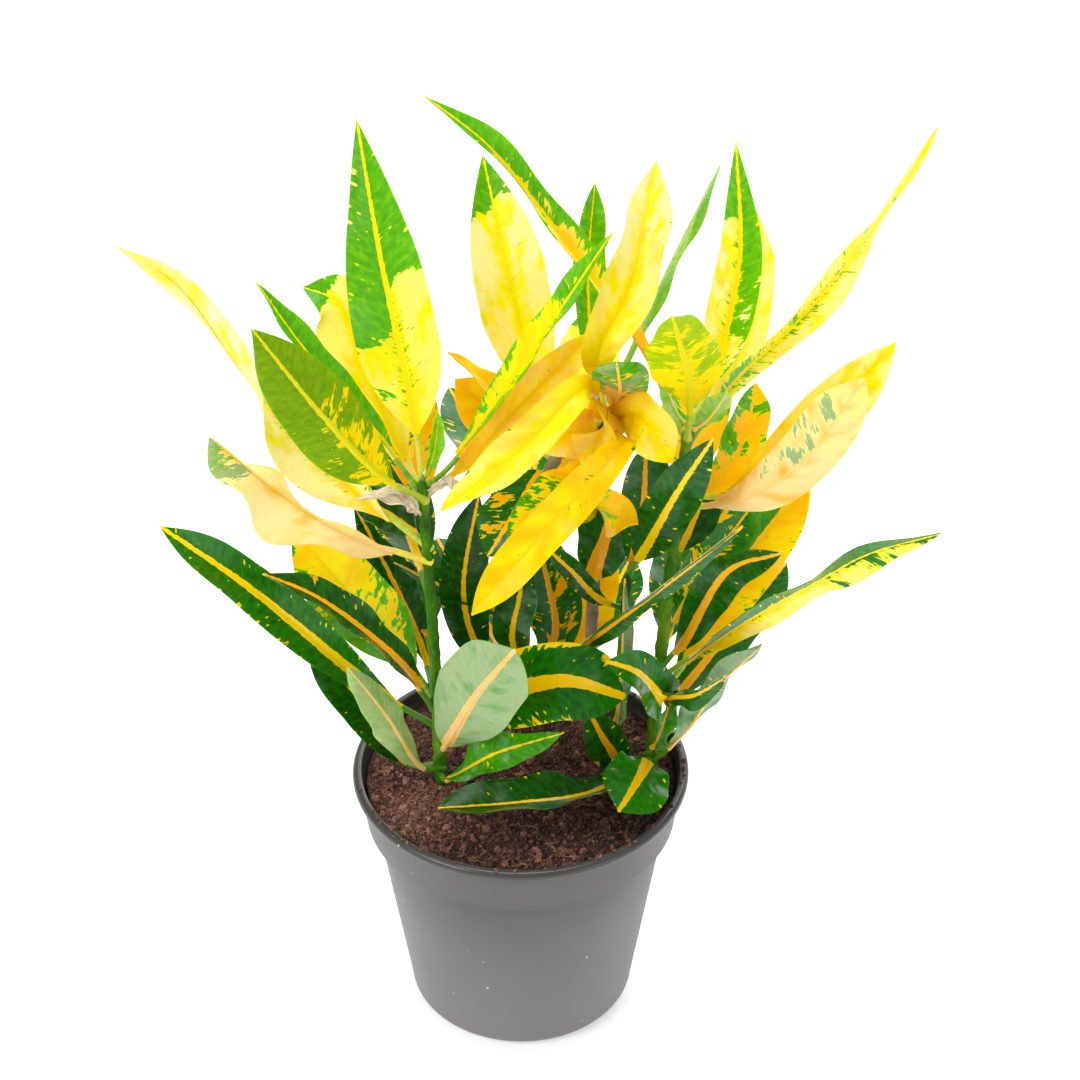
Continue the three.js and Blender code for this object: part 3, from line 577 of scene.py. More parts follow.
def layLeaf(mesh, blank, isRib, stemRoute, stemName, leaf):
    # bends the blank along the leaf's midrib, then gives its corners what the colours read
    name, look, height, width, widest, rollNear, rollFar, fold, wave = leaf[:9]
    form = leafForm
    dice = random.Random(stemName + name)
    route = routeThrough([stemAtHeight(stemRoute, height), *leaf[9:]])
    length = route["length"]
    petiole = min(form["longestPetiole"], form["petioleShare"] * length) / length
    start, end = route["points"][0], route["points"][-1]
    side = np.array([start[1] - end[1], end[0] - start[0], 0.0])
    side /= np.linalg.norm(side)
    x, y, level = blank.T
    share = (y + 1) / 2
    ribPlace = share * (petiole + form["ribReach"] * (1 - petiole))
    place = np.where(isRib, ribPlace, petiole + (1 - petiole) * share)
    along = np.clip((place - petiole) / (1 - petiole), 0, 1)
    centre, tangent = alongRoute(route, place)
    across = side - tangent * (tangent @ side)[:, None]
    across /= np.linalg.norm(across, axis=1)[:, None]
    up = np.cross(tangent, across)
    turned = (place - form["rollStart"]) / form["rollSpan"]
    roll = np.radians(rollNear + (rollFar - rollNear) * turned)[:, None]
    across, up = across * np.cos(roll) + up * np.sin(roll), up * np.cos(roll) - across * np.sin(roll)
    # the blade
    offset = -np.sign(x) * np.abs(x) ** form["crowding"]  # its places are closer together near the midrib
    reach = np.abs(offset)
    half = np.maximum(width / 2 * bladeOutline(along, widest), form["petioleHalf"] * (1 - along) ** 2)
    half = np.maximum(half, form["thinnestHalf"])
    wander = dice.uniform(0, 6)
    wobble = np.sin(form["wobbleTurns"] * along + wander + offset) * np.sin(np.pi * along)
    half = half * (1 + form["wobble"] * wobble)
    turn = fullTurn * form["edgeWaves"] * along + wavePhase(name)
    ripple = np.where(offset < 0, np.sin(turn), np.sin(turn + form["waveLag"]))
    ripple = wave * np.sin(np.pi * along) * ripple
    fineTurns = dice.uniform(*form["fineTurns"])
    fine = (form["fineWave"] + form["fineShare"] * wave) * np.sqrt(np.sin(np.pi * along).clip(0))
    fine = fine * np.sin(fullTurn * fineTurns * along + wander + np.where(offset < 0, 0, form["fineLag"]))
    foldAngle = math.radians(fold)
    lift = half * math.sin(foldAngle) * reach ** form["foldReach"]
    lift = lift + ripple * reach ** form["waveReach"] + fine * reach ** form["fineReach"]
    groove = np.exp(-(reach * half / form["grooveHalf"]) ** 2)
    lift = lift - form["grooveDepth"] * groove * smoothstep(0, form["bladeStart"], along) * (1 - along)
    thickness = form["thickness"] * (1 - form["marginThinning"] * reach ** 3)
    sideways = offset * half * math.cos(foldAngle)
    raised = lift + level * thickness
    # the petiole, and the rib under the blade, which is flatter
    bladeStart = (0, form["bladeStart"])
    ribRadius = np.interp(along, (*bladeStart, 1), (form["stalkRadius"], form["ribRadius"], form["ribTip"]))
    flare = 1 + form["jointFlare"] * np.exp(-place * length / form["jointReach"])
    ribRadius = ribRadius * flare * min(1, 0.6 + width / 50)  # a narrow leaf has a thinner petiole
    ribDepth = ribRadius * np.interp(along, bladeStart, (1, form["ribFlatness"]))
    sunk = np.interp(along, bladeStart, (-form["stalkDrop"], form["ribBite"] - form["thickness"])) - ribDepth
    sideways = np.where(isRib, x * ribRadius, sideways)
    raised = np.where(isRib, sunk + level * ribDepth, raised)
    setCorners(mesh, (centre + across * sideways[:, None] + up * raised[:, None]) * mm)
    acrossMm = np.where(isRib, 0, offset * half)
    paintLeaf(mesh, {**plainLook, **leafLooks[look]}, dice, isRib, along, place * length, acrossMm, reach)


def paintLeaf(mesh, look, dice, isRib, along, alongMm, acrossMm, reach):
    paint = leafPaint
    slanted = alongMm - paint["veinSlant"] * np.abs(acrossMm)
    setVectors(mesh, "leafPlace", acrossMm, slanted, dice.uniform(0, 60))
    green = np.interp(along, (0, 0.5, 1), look["green"])
    stalkGreen = green + (paint["stalkGreen"] - green) * smoothstep(0, paint["blur"], along)
    green = np.where(isRib, stalkGreen, green)
    leftward = np.tanh(acrossMm / 1.5)
    green = green + look["side"] * leftward + look["edge"] * reach ** 3 + dice.uniform(-0.02, 0.02)
    tipFrom, tipLean = look["tip"]
    green = green + paint["tipPush"] * smoothstep(tipFrom - paint["blur"], tipFrom + paint["blur"],
                                                  along + tipLean * leftward)
    tone = np.interp(along, (0, 1), look["tone"]) + dice.uniform(-0.06, 0.06)
    setVectors(mesh, "leafPaint", green, tone, look["age"] + dice.uniform(-0.05, 0.05))
    band = np.where(isRib, 1, look["rib"] * (1 - paint["ribNarrowing"] * along) - np.abs(acrossMm))
    setVectors(mesh, "leafEdge", band, reach, look["glow"])
    dashes = look["dashes"] * np.exp(-np.abs(acrossMm) / paint["dashFade"])
    dashes = dashes * np.sin(np.pi * along ** 0.6).clip(0)
    spots = look["spots"] * (paint["spotsInside"] + paint["spotsAtMargin"] * reach ** 2)
    cream = np.interp(along, (paint["creamFrom"], paint["creamTo"]), look["cream"])
    setVectors(mesh, "leafMarks", spots, dashes, cream)


# A croton's blade: leathery, waxed above, with slanting side veins; the yellow parts let light through.
upperSkin = {
    "yellow": [(0.0, "#FFF000"), (0.3, "#FFE000"), (0.6, "#FFC000"), (1.0, "#FCA200")],
    "green": [(0.0, "#9CD800"), (0.35, "#5AB000"), (0.7, "#1C7A00"), (1.0, "#0A4202")],
    "fringe": "#A4D400", "cream": "#FFF0A6", "rib": [(0.0, "#FFF400"), (0.5, "#FFC800"), (1.0, "#FCA414")],
    "roughness": 0.32, "wax": 1.0,
}
underSkin = {
    "yellow": [(0.0, "#FFEE7A"), (0.35, "#FFE368"), (0.6, "#FBD894"), (1.0, "#F9C68A")],
    "green": [(0.0, "#BFD98A"), (0.4, "#A0B878"), (0.7, "#8EA682"), (1.0, "#7A9078")],
    "fringe": "#D9DE8C", "cream": "#FFE9C0", "rib": [(0.0, "#FBEFA4"), (0.5, "#F8DC88"), (1.0, "#F4BE78")],
    "roughness": 0.55, "wax": 0.0,
}
# painted backlight: the colours that an underside takes where light would shine through it from behind
litSkin = {
    "yellow": [(0.0, "#FFEC3C"), (0.3, "#F8E000"), (0.6, "#F0CC00"), (1.0, "#F0B000")],
    "green": [(0.0, "#B4CC00"), (0.35, "#8EB000"), (0.7, "#5C9000"), (1.0, "#3A7000")],
    "fringe": "#C8CC00", "cream": "#FFEFA0", "rib": [(0.0, "#F0E83C"), (0.5, "#E0D400"), (1.0, "#F0C000")],
}
# Patches on the blade: the size across the blade in mm, how much shorter they are along it, and the
# detail. blotch: broad patches; fleck: flecks in them; feather: the midrib's ragged edge; dash: short
# lines along the side veins; pale: where the yellow fades.
leafPatches = {"blotch": (8.0, 1.0, 1.0), "fleck": (2.4, 1.15, 1.5), "feather": (2.6, 1.5, 1.5),
               "dash": (3.6, 4.0, 2.0), "pale": (6.0, 0.5, 2.0)}
leafPattern = {"veinSpacing": 3.8, "ragged": 0.9, "spot": 4.6, "spotStretch": 1.8}


def leafSkin(name, skin, glowSkin=None):
    material, add = newMaterial(name)
    place, *layers = [add("Attribute", attribute_name=layer).outputs["Vector"]
                      for layer in ("leafPlace", "leafPaint", "leafEdge", "leafMarks")]
    paint, edge, marks = [add("SeparateXYZ", {0: layer}).outputs for layer in layers]
    patches = []
    for size, stretch, detail in leafPatches.values():
        scaled = add("VectorMath", {0: place, 1: (1 / size, stretch / size, 1.0)}, operation="MULTIPLY")
        patches.append(add("TexNoise", {"Vector": scaled, "Scale": 1.0, "Detail": detail,
                                        "Roughness": 0.55}))
    blotch, fleck, feather, dash, pale = patches
    # ahead: how deep in the green a place is, which is nought on the outline of the green
    field = add("Math", {0: dash, 1: 0.25}, operation="MULTIPLY")
    for patch, weight in ((fleck, 0.25), (blotch, 0.5)):
        field = add("Math", {0: patch, 1: weight, 2: field}, operation="MULTIPLY_ADD")
    threshold = add("Math", {0: paint[0], 1: 0.5, 2: 0.25}, operation="MULTIPLY_ADD")
    bent = add("Math", {0: blotch, 1: 5.0}, operation="MULTIPLY")
    slanted = add("SeparateXYZ", {0: place}).outputs[1]
    turn = add("Math", {0: slanted, 1: fullTurn / leafPattern["veinSpacing"], 2: bent},
               operation="MULTIPLY_ADD")
    vein = add("Math", {0: turn}, operation="SINE")
    veinLine = add("MapRange", {"Value": vein, "From Min": 0.8, "From Max": 1.0},
                   interpolation_type="SMOOTHSTEP")
    rarer = add("Math", {0: dash, 1: 0.83}, operation="SUBTRACT")
    dashes = add("Math", {0: marks[1], 1: 0.34, 2: rarer}, operation="MULTIPLY_ADD")
    ahead = add("Math", {0: threshold, 1: field}, operation="SUBTRACT")
    ahead = add("Math", {0: ahead, 1: add("Math", {0: dashes, 1: 0.5}, operation="MULTIPLY")},
                operation="MAXIMUM")
    # yellow spots in the green, each of its own size
    spot = leafPattern["spot"]
    scaled = add("VectorMath", {0: place, 1: (1 / spot, leafPattern["spotStretch"] / spot, 1.0)},
                 operation="MULTIPLY")
    cells = add("TexVoronoi", {"Vector": scaled, "Scale": 1.0})
    chance = add("SeparateXYZ", {0: cells.outputs["Color"]})
    spotSize = add("Math", {0: chance, 1: 0.8, 2: 0.15}, operation="MULTIPLY_ADD")
    spotSize = add("Math", {0: marks[0], 1: spotSize}, operation="MULTIPLY")
    spots = add("Math", {0: cells, 1: spotSize}, operation="SUBTRACT")
    spots = add("Math", {0: spots, 1: 0.6, 2: 0.02}, operation="MULTIPLY_ADD")
    ahead = add("Math", {0: ahead, 1: spots}, operation="MINIMUM")
    ragged = add("Math", {0: feather, 1: 0.5}, operation="SUBTRACT")
    ragged = add("Math", {0: ragged, 1: leafPattern["ragged"], 2: edge[0]}, operation="MULTIPLY_ADD")
    offRib = add("Math", {0: edge[0], 1: -1.0}, operation="MULTIPLY")
    offRib = add("Math", {0: fleck, 1: -5.0, 2: offRib}, operation="MULTIPLY_ADD")
    greenMask, fringeMask, ribMask, awayFromRib, fading = [
        add("MapRange", {"Value": value, "From Min": low, "From Max": high}, interpolation_type="SMOOTHSTEP")
        for value, low, high in ((ahead, -0.006, 0.012), (ahead, -0.045, 0.012), (ragged, -0.12, 0.16),
                                 (offRib, -2.2, 0.6), (pale, 0.34, 0.56))]
    paleMask = add("Math", {0: awayFromRib, 1: fading}, operation="MULTIPLY")
    creamMask = add("Math", {0: marks[2], 1: paleMask}, operation="MULTIPLY")
    fringeShare = add("Math", {0: fringeMask, 1: 0.8}, operation="MULTIPLY")
    varied, freckled = [add("Math", {0: patch, 1: 0.5}, operation="SUBTRACT") for patch in (blotch, fleck)]
    tone = add("Math", {0: varied, 1: 0.7, 2: paint[1]}, operation="MULTIPLY_ADD")
    shade = add("Math", {0: freckled, 1: 0.5, 2: paint[2]}, operation="MULTIPLY_ADD")
    shade = add("Math", {0: veinLine, 1: -0.05, 2: shade}, operation="MULTIPLY_ADD")

    def colours(look):
        # yellow, then cream, the lime fringe of the green, the green and the midrib laid over each other
        colour, green, rib = [add("ValToRGB", {"Fac": value}, look[part])
                              for part, value in (("yellow", tone), ("green", shade), ("rib", paint[1]))]
        for mask, over in ((creamMask, hexColour(look["cream"])), (fringeShare, hexColour(look["fringe"])),
                           (greenMask, green), (ribMask, rib)):
            colour = add("Mix", {0: mask, 6: colour, 7: over}, data_type="RGBA").outputs[2]
        return colour

    colour = colours(skin)
    if glowSkin:
        # painted light: where light would shine through, the underside takes the brighter colours
        glow = add("Math", {0: varied, 1: 2.5, 2: edge[2]}, operation="MULTIPLY_ADD")
        glow = add("Clamp", {"Value": glow})
        colour = add("Mix", {0: glow, 6: colour, 7: colours(glowSkin)}, data_type="RGBA").outputs[2]
    relief = add("Math", {0: fleck, 1: 0.5}, operation="MULTIPLY")
    relief = add("Math", {0: veinLine, 1: -0.35, 2: relief}, operation="MULTIPLY_ADD")
    waxed = add("Math", {0: greenMask, 1: marks[2]}, operation="MAXIMUM")
    finishMaterial(add, {
        "Base Color": colour, "IOR": 1.17,
        "Roughness": add("Math", {0: fleck, 1: 0.16, 2: skin["roughness"] - 0.08}, operation="MULTIPLY_ADD"),
        "Normal": add("Bump", {"Height": relief, "Strength": 0.5, "Distance": 0.0003}),
        "Coat Weight": add("Math", {0: waxed, 1: 0.45 * skin["wax"], 2: 0.2 * skin["wax"]},
                           operation="MULTIPLY_ADD"),
        "Coat IOR": 1.36, "Coat Roughness": 0.18, "Subsurface Weight": 0.4,
        "Subsurface Radius": (1.0, 0.9, 0.12), "Subsurface Scale": 0.0015})
    return material


def petioleSkin():
    # a petiole: smooth, juicy, pale green running to yellow in the young leaves
    material, add = newMaterial("leafstalk_flesh")
    place, paint = [add("Attribute", attribute_name=layer).outputs["Vector"]
                    for layer in ("leafPlace", "leafPaint")]
    grain = add("TexNoise", {"Vector": place, "Scale": 0.7, "Detail": 3.0})
    shade = add("Math", {0: grain, 1: 0.5, 2: add("SeparateXYZ", {0: paint})}, operation="MULTIPLY_ADD")
    ramp = add("ValToRGB", {"Fac": shade},
               [(0.25, "#F6E24A"), (0.55, "#C4D63A"), (0.85, "#8CBC2E"), (1.0, "#5C9A22")])
    finishMaterial(add, {
        "Base Color": ramp, "Normal": add("Bump", {"Height": grain, "Strength": 0.4, "Distance": 0.0003}),
        "Roughness": 0.42, "Subsurface Weight": 0.2, "Subsurface Scale": 0.002})
    return material


def drySkin():
    # a dried bud scale: thin as paper, beige, browner in streaks
    material, add = newMaterial("dried_bud_scale")
    place = add("Attribute", attribute_name="leafPlace").outputs["Vector"]
    streaks = add("Mapping", {"Vector": place, "Scale": (1.4, 0.3, 1)})
    grain = add("TexNoise", {"Vector": streaks, "Scale": 1.0, "Detail": 3.0})
    ramp = add("ValToRGB", {"Fac": grain}, [(0.3, "#A8926A"), (0.5, "#D2C2A0"), (0.7, "#EFE6D0")])
    finishMaterial(add, {
        "Base Color": ramp,
        "Normal": add("Bump", {"Height": grain, "Strength": 0.6, "Distance": 0.0003}), "Roughness": 0.7})
    return material


def growLeaves(stemRoutes):
    upper = leafSkin("croton_leaf_waxed_upper", upperSkin)
    under = leafSkin("croton_leaf_matt_underside", underSkin, upperSkin)
    # the underside painted as lit from behind, for leaves seen against the light
    lit = leafSkin("croton_leaf_backlit_underside", underSkin, litSkin)
    stalk = petioleSkin()
    dry = drySkin()
    blank = makeLeafBlank([upper, under, stalk])
    flat = cornersOf(blank.data)
    part = np.zeros(len(flat))
    blank.data.attributes["blankPart"].data.foreach_get("value", part)
    for stemName, leaves in leafTable.items():
        scales = dryScales.get(stemName, [])
        for leaf in leaves + scales:
            piece = bpy.data.objects.new(f"{stemName}_leaf_{leaf[0]}", blank.data.copy())
            piece.data.name = piece.name
            bpy.context.collection.objects.link(piece)
            layLeaf(piece.data, flat, part > 0.5, stemRoutes[stemName], stemName, leaf)
            piece.data.attributes.remove(piece.data.attributes["blankPart"])
            skins = [upper, lit if leafLooks[leaf[1]].get("lit") else under, stalk]
            skins = [dry, dry, dry] if leaf in scales else skins
            placePiece(piece, "leafy_stem_" + stemName, skins)
            bpy.ops.object.shade_smooth_by_angle(angle=math.radians(leafForm["smoothAngle"]))
        print("leaves laid on cutting", stemName, len(leaves) + len(scales))
    bpy.data.objects.remove(blank)


stemForm = {  # in mm; the buried foot slants in towards the pot's axis, and scars are small rings
    "sides": 16, "spans": 110, "buried": 14, "footLean": 0.2, "footDrop": 40, "swelling": 0.16,
    "swellingHalf": 1.1, "firstScar": 103, "scarSpacing": 6.5, "bareTop": 12, "tipTaper": 0.75,
    "tipFrom": 3.5, "tipTo": 0.5, "smoothAngle": 60, "woody": ("back", "centre"),
}


def stemSkin(name, stops, roughness, grainSize, depth):
    # grainSize and depth in mm; the patches of lighter and darker bark are 18 mm
    material, add = newMaterial(name)
    place = add("TexCoord").outputs["Object"]
    long = add("Mapping", {"Vector": place, "Scale": (1, 1, 0.3)})
    grain = add("TexNoise", {"Vector": long, "Scale": 1 / (grainSize * mm), "Detail": 4.0})
    patch = add("TexNoise", {"Vector": place, "Scale": 55, "Detail": 1.0})
    shade = add("Math", {0: grain, 1: 0.5, 2: patch}, operation="MULTIPLY_ADD")
    finishMaterial(add, {
        "Base Color": add("ValToRGB", {"Fac": shade}, stops), "Roughness": roughness, "IOR": 1.25,
        "Normal": add("Bump", {"Height": grain, "Strength": 0.8, "Distance": depth * mm})})
    return material


def growStems(stemRoutes):
    # young shoots: smooth green bark; older wood: grey-brown bark with fine lengthwise cracks
    form = stemForm
    green = stemSkin("croton_bark_green", [(0.5, "#245200"), (0.75, "#3C7800"), (1.0, "#7CA814")],
                     0.5, 1.2, 0.25)
    woody = stemSkin("croton_bark_woody", [(0.5, "#5B4A38"), (0.75, "#8C7A5F"), (1.0, "#A79A7C")],
                     0.75, 0.8, 0.5)
    for name, route in stemRoutes.items():
        deselectAll()
        bpy.ops.mesh.primitive_cylinder_add(vertices=form["sides"], radius=1, depth=2)
        piece = begin(f"{name}_stem")
        cutRod(piece, form["spans"])
        x, y, z = cornersOf(piece.data).T
        length = route["length"]
        gone = (z + 1) / 2 * (length + form["buried"]) - form["buried"]
        centre, tangent = alongRoute(route, gone / length)
        top = route["points"][0]
        slant = np.array([form["footLean"] * top[0], form["footLean"] * top[1], form["footDrop"]])
        slant /= np.linalg.norm(slant)
        below = gone < 0
        centre[below] = top + slant * gone[below][:, None]
        tangent[below] = slant
        across = np.array([1.0, 0, 0]) - tangent * tangent[:, :1]
        across /= np.linalg.norm(across, axis=1)[:, None]
        back = np.cross(tangent, across)
        radius = np.interp(gone, (0, length), cuttings[name]["radius"])
        scars = [leaf[2] for leaf in leafTable[name]]
        highest = centre[:, 2].max() - form["bareTop"]
        scars += list(np.arange(form["firstScar"], highest, form["scarSpacing"]))
        dice = random.Random(name)
        for height in scars:
            turn = dice.uniform(0, fullTurn)
            facing = 0.55 + 0.45 * np.cos(np.arctan2(y, x) - turn)  # a scar swells most on one side
            bulge = np.exp(-((centre[:, 2] - height) / form["swellingHalf"]) ** 2)
            radius = radius * (1 + form["swelling"] * bulge * facing)
        nearTip = smoothstep(length - form["tipFrom"], length + form["tipTo"], gone)
        radius = radius * (1 - form["tipTaper"] * nearTip)
        corners = centre + across * (x * radius)[:, None] + back * (y * radius)[:, None]
        setCorners(piece.data, corners * mm)
        placePiece(piece, "leafy_stem_" + name, [woody if name in form["woody"] else green])
        bpy.ops.object.shade_smooth_by_angle(angle=math.radians(form["smoothAngle"]))
    print("stems", len(stemRoutes))


# The pot: injection-moulded polypropylene with recycled carbon grey, in mm.
potForm = {
    "height": 100, "rimRadius": 60, "lipHeight": 4, "lipReach": 2.4, "ledge": 80.5, "ledgeDrop": 1,
    "collarFoot": 55.6, "bodyTop": 52.3, "base": 41, "baseRounding": 5, "wall": 1.6, "floor": 2.6,
    "sides": 160, "holes": 6, "holeRadius": 3.5, "holeCircle": 27, "holeSides": 32, "drillDepth": 12,
    "floorInset": 8, "smoothAngle": 35,
}


def arcPoints(centreRadius, centreHeight, radius, first, last, steps):
    angles = [math.radians(first + (last - first) * i / steps) for i in range(steps + 1)]
    return [(centreRadius + radius * math.cos(a), centreHeight + radius * math.sin(a)) for a in angles]


def potProfile():
    # radius and height from the foot up the outside, over the lip and down the inside to the floor
    p = potForm
    collarTop = p["rimRadius"] - p["lipReach"]
    lipFoot = p["height"] - p["lipHeight"]
    lipRound = p["lipHeight"] / 2
    ledge = p["ledge"] - p["ledgeDrop"]
    outside = arcPoints(p["base"] - p["baseRounding"], p["baseRounding"], p["baseRounding"], -80, 0, 8)
    outside += [(p["bodyTop"] - 0.25, ledge - 2.0), (p["bodyTop"], ledge - 0.4), (p["bodyTop"] + 0.5, ledge)]
    outside += arcPoints(p["collarFoot"] - 0.8, ledge + 0.8, 0.8, -90, 0, 4)
    outside += [(collarTop - 0.1, lipFoot - 1.2), (collarTop, lipFoot - 0.5), (collarTop + 0.5, lipFoot)]
    outside += arcPoints(p["rimRadius"] - lipRound, lipFoot + lipRound, lipRound, -75, 125, 14)
    inside = [(collarTop - p["wall"] + 0.2, lipFoot - 0.2), (collarTop - p["wall"], lipFoot - 2),
              (p["collarFoot"] - p["wall"], ledge + 3), (p["bodyTop"] - p["wall"], ledge - 1),
              (p["base"] - p["wall"], p["floor"] + p["baseRounding"]),
              (p["base"] - p["wall"] - p["baseRounding"], p["floor"])]
    return outside + inside


# Repeats in a metre: dust clouds of 36 mm, orange peel of 1.1 mm, which is drawn coarser than the real
# one so that it shows, and a cell for a speck each 6 mm.
potPattern = {"cloud": 28, "peel": 900, "specks": 170}


def potSkin():
    # polypropylene: satin, with the fine orange peel of the mould and specks of lime dust; the top of the
    # collar and the lip are handled and glossier. Painted shade: the wall is painted darker from the base
    # up, with a painted shadow band under the collar's ledge and the painted shade darkest on the lip
    material, add = newMaterial("polypropylene_moulded_grey")
    place = add("TexCoord").outputs["Object"]
    cloud = add("TexNoise", {"Vector": place, "Scale": potPattern["cloud"], "Detail": 3.0})
    peel = add("TexNoise", {"Vector": place, "Scale": potPattern["peel"], "Detail": 2.0})
    height = add("SeparateXYZ", {0: place}).outputs[2]
    share = add("Math", {0: height, 1: 1 / (potForm["height"] * mm)}, operation="MULTIPLY")
    # painted shade: the colour darkens with height, with a painted shadow band at the ledge and a dark
    # painted lip
    paintedShadeByHeight = add("Math", {0: cloud, 1: 0.1, 2: share}, operation="MULTIPLY_ADD")
    base = add("ValToRGB", {"Fac": paintedShadeByHeight}, [
        (0.07, "#777675"), (0.3, "#6C6C6C"), (0.54, "#616161"), (0.76, "#545453"), (0.84, "#4D4D4C"),
        (0.87, "#535351"), (0.99, "#52514F"), (1.0, "#3C3B39")])
    cell = add("TexVoronoi", {"Vector": place, "Scale": potPattern["specks"]})
    size = add("SeparateXYZ", {0: cell.outputs["Color"]})
    reach = add("Math", {0: size, 1: 0.16, 2: -0.06}, operation="MULTIPLY_ADD")
    speck = add("Math", {0: cell, 1: reach}, operation="LESS_THAN")
    handled = add("MapRange", {"Value": share, "From Min": 0.94, "From Max": 0.97, "To Min": 0.36,
                               "To Max": 0.2})
    finishMaterial(add, {
        "Base Color": add("Mix", {0: speck, 6: base, 7: hexColour("#B4B2AE")},
                          data_type="RGBA").outputs[2],
        "Roughness": add("Math", {0: cloud, 1: 0.2, 2: handled}, operation="MULTIPLY_ADD"),
        "Normal": add("Bump", {"Height": peel, "Strength": 0.25, "Distance": 0.0001})})
    return material


def mouldPot():
    deselectAll()
    profile = potProfile()
    radius, height = profile[0]
    bpy.ops.mesh.primitive_cylinder_add(vertices=potForm["sides"], radius=radius * mm, depth=height * mm,
                                        location=(0, 0, height / 2 * mm))
    pot = begin("pot_body")
    bpy.ops.object.transform_apply(location=True)
    pickTopFace(pot)
    for (fromRadius, fromHeight), (toRadius, toHeight) in zip(profile, profile[1:]):
        rise = (0, 0, (toHeight - fromHeight) * mm)
        bpy.ops.mesh.extrude_region_move(TRANSFORM_OT_translate={"value": rise})
        share = toRadius / fromRadius
        bpy.ops.transform.resize(value=(share, share, 1), center_override=(0, 0, toHeight * mm))
    bpy.ops.mesh.inset(thickness=potForm["floorInset"] * mm)
    bpy.ops.mesh.poke()
    bpy.ops.object.mode_set(mode="OBJECT")
    circle = potForm["holeCircle"] * mm
    for i in range(potForm["holes"]):
        turn = fullTurn * i / potForm["holes"]
        deselectAll()
        bpy.ops.mesh.primitive_cylinder_add(
            vertices=potForm["holeSides"], radius=potForm["holeRadius"] * mm,
            depth=potForm["drillDepth"] * mm, location=(circle * math.cos(turn), circle * math.sin(turn), 0))
        drill = begin("drill")
        applyModifier(pot, "BOOLEAN", operation="DIFFERENCE", object=drill, solver="EXACT")
        bpy.data.objects.remove(drill)
    placePiece(pot, "pot", [potSkin()])
    bpy.ops.object.shade_smooth_by_angle(angle=math.radians(potForm["smoothAngle"]))
    print("pot", len(pot.data.polygons))


# The soil, in mm: a lumpy bed, and how many crumbs, grains, fibres, chips and rim crumbs lie on it.
soilForm = {
    "level": 94, "edgeGap": 0.35, "overlap": 1.3, "depth": 12, "footShare": 0.93, "rings": 44, "sides": 150,
    "lump": 1.1, "clods": 3200, "grit": 6500, "fibres": 150, "chips": 60, "strays": 60,
}
peatTones = {  # each with the size of its grain in mm
    "peat_damp": ([(0.3, "#1C110E"), (0.48, "#4A3029"), (0.62, "#785247"), (0.78, "#A57868")], 1.3),
    "peat_dry_crumb": ([(0.3, "#5E3C32"), (0.55, "#A47462"), (0.8, "#D2A692")], 1.0),
    "bark_chip": ([(0.3, "#4C3026"), (0.6, "#8C5C4A"), (0.8, "#B98068")], 0.9),
    "coir_fibre": ([(0.3, "#7B4E38"), (0.7, "#B98562")], 1.0),
}


def soilTop(x, y):
    # the height of the soil in mm: broad swells, small lumps and crumbs
    broad = math.sin(0.11 * x + 1.3) * math.cos(0.13 * y - 0.4)
    small = math.sin(0.47 * x - 0.6) * math.sin(0.41 * y + 1.1) + math.cos(0.73 * x + 0.5 * y)
    settled = 1 - 0.5 * min(1.0, math.hypot(x, y) / 56) ** 4
    rough = 0.9 * noise.noise(Vector((x * 0.35, y * 0.35, 3))) + 0.6 * noise.noise(Vector((x, y, 9)))
    return soilForm["level"] + settled * soilForm["lump"] * (0.6 * broad + 0.35 * small) + 0.8 * rough


def peatSkin(name, stops, grain):
    # damp peat: dull, dark, and matt apart from a few moist grains; its damp patches are 33 mm
    material, add = newMaterial(name)
    place = add("TexCoord").outputs["Object"]
    fine = add("TexNoise", {"Vector": place, "Scale": 1 / (grain * mm), "Detail": 5.0, "Roughness": 0.7})
    broad = add("TexNoise", {"Vector": place, "Scale": 30, "Detail": 1.0})
    tone = add("Math", {0: add("SeparateXYZ", {0: place}), 1: -1.8, 2: fine},
               operation="MULTIPLY_ADD")  # painted light: the soil is lighter towards the left, the side of the key light
    tone = add("Math", {0: broad, 1: 0.5, 2: tone}, operation="MULTIPLY_ADD")
    tone = add("Math", {0: tone, 1: 0.26}, operation="SUBTRACT")
    finishMaterial(add, {
        "Base Color": add("ValToRGB", {"Fac": tone}, stops),
        "Roughness": add("Math", {0: fine, 1: 0.4, 2: 0.65}, operation="MULTIPLY_ADD"),
        "Normal": add("Bump", {"Height": fine, "Strength": 1.0, "Distance": 0.001})})
    return material


def scatterCopies(name, model, count, drawSpot, materials):
    # drawSpot gives a place in mm, sizes along three axes in mm, and turns about three axes
    shape = cornersOf(model.data)
    faces = [tuple(face.vertices) for face in model.data.polygons]
    corners, allFaces, kinds = [], [], []
    for i in range(count):
        place, size, turns = drawSpot()
        cx, cy, cz = np.cos(turns)
        sx, sy, sz = np.sin(turns)
        turnX = np.array([[1, 0, 0], [0, cx, -sx], [0, sx, cx]])
        turnY = np.array([[cy, 0, sy], [0, 1, 0], [-sy, 0, cy]])
        turnZ = np.array([[cz, -sz, 0], [sz, cz, 0], [0, 0, 1]])
        corners.append((shape * np.array(size)) @ (turnZ @ turnY @ turnX).T + np.array(place))
        allFaces += [tuple(v + i * len(shape) for v in face) for face in faces]
        kinds += [i % len(materials)] * len(faces)
    mesh = bpy.data.meshes.new(name)
    mesh.from_pydata((np.vstack(corners) * mm).tolist(), [], allFaces)
    piece = bpy.data.objects.new(name, mesh)
    bpy.context.collection.objects.link(piece)
    placePiece(piece, "soil", materials)
    mesh.polygons.foreach_set("material_index", kinds)
    print(name, count)


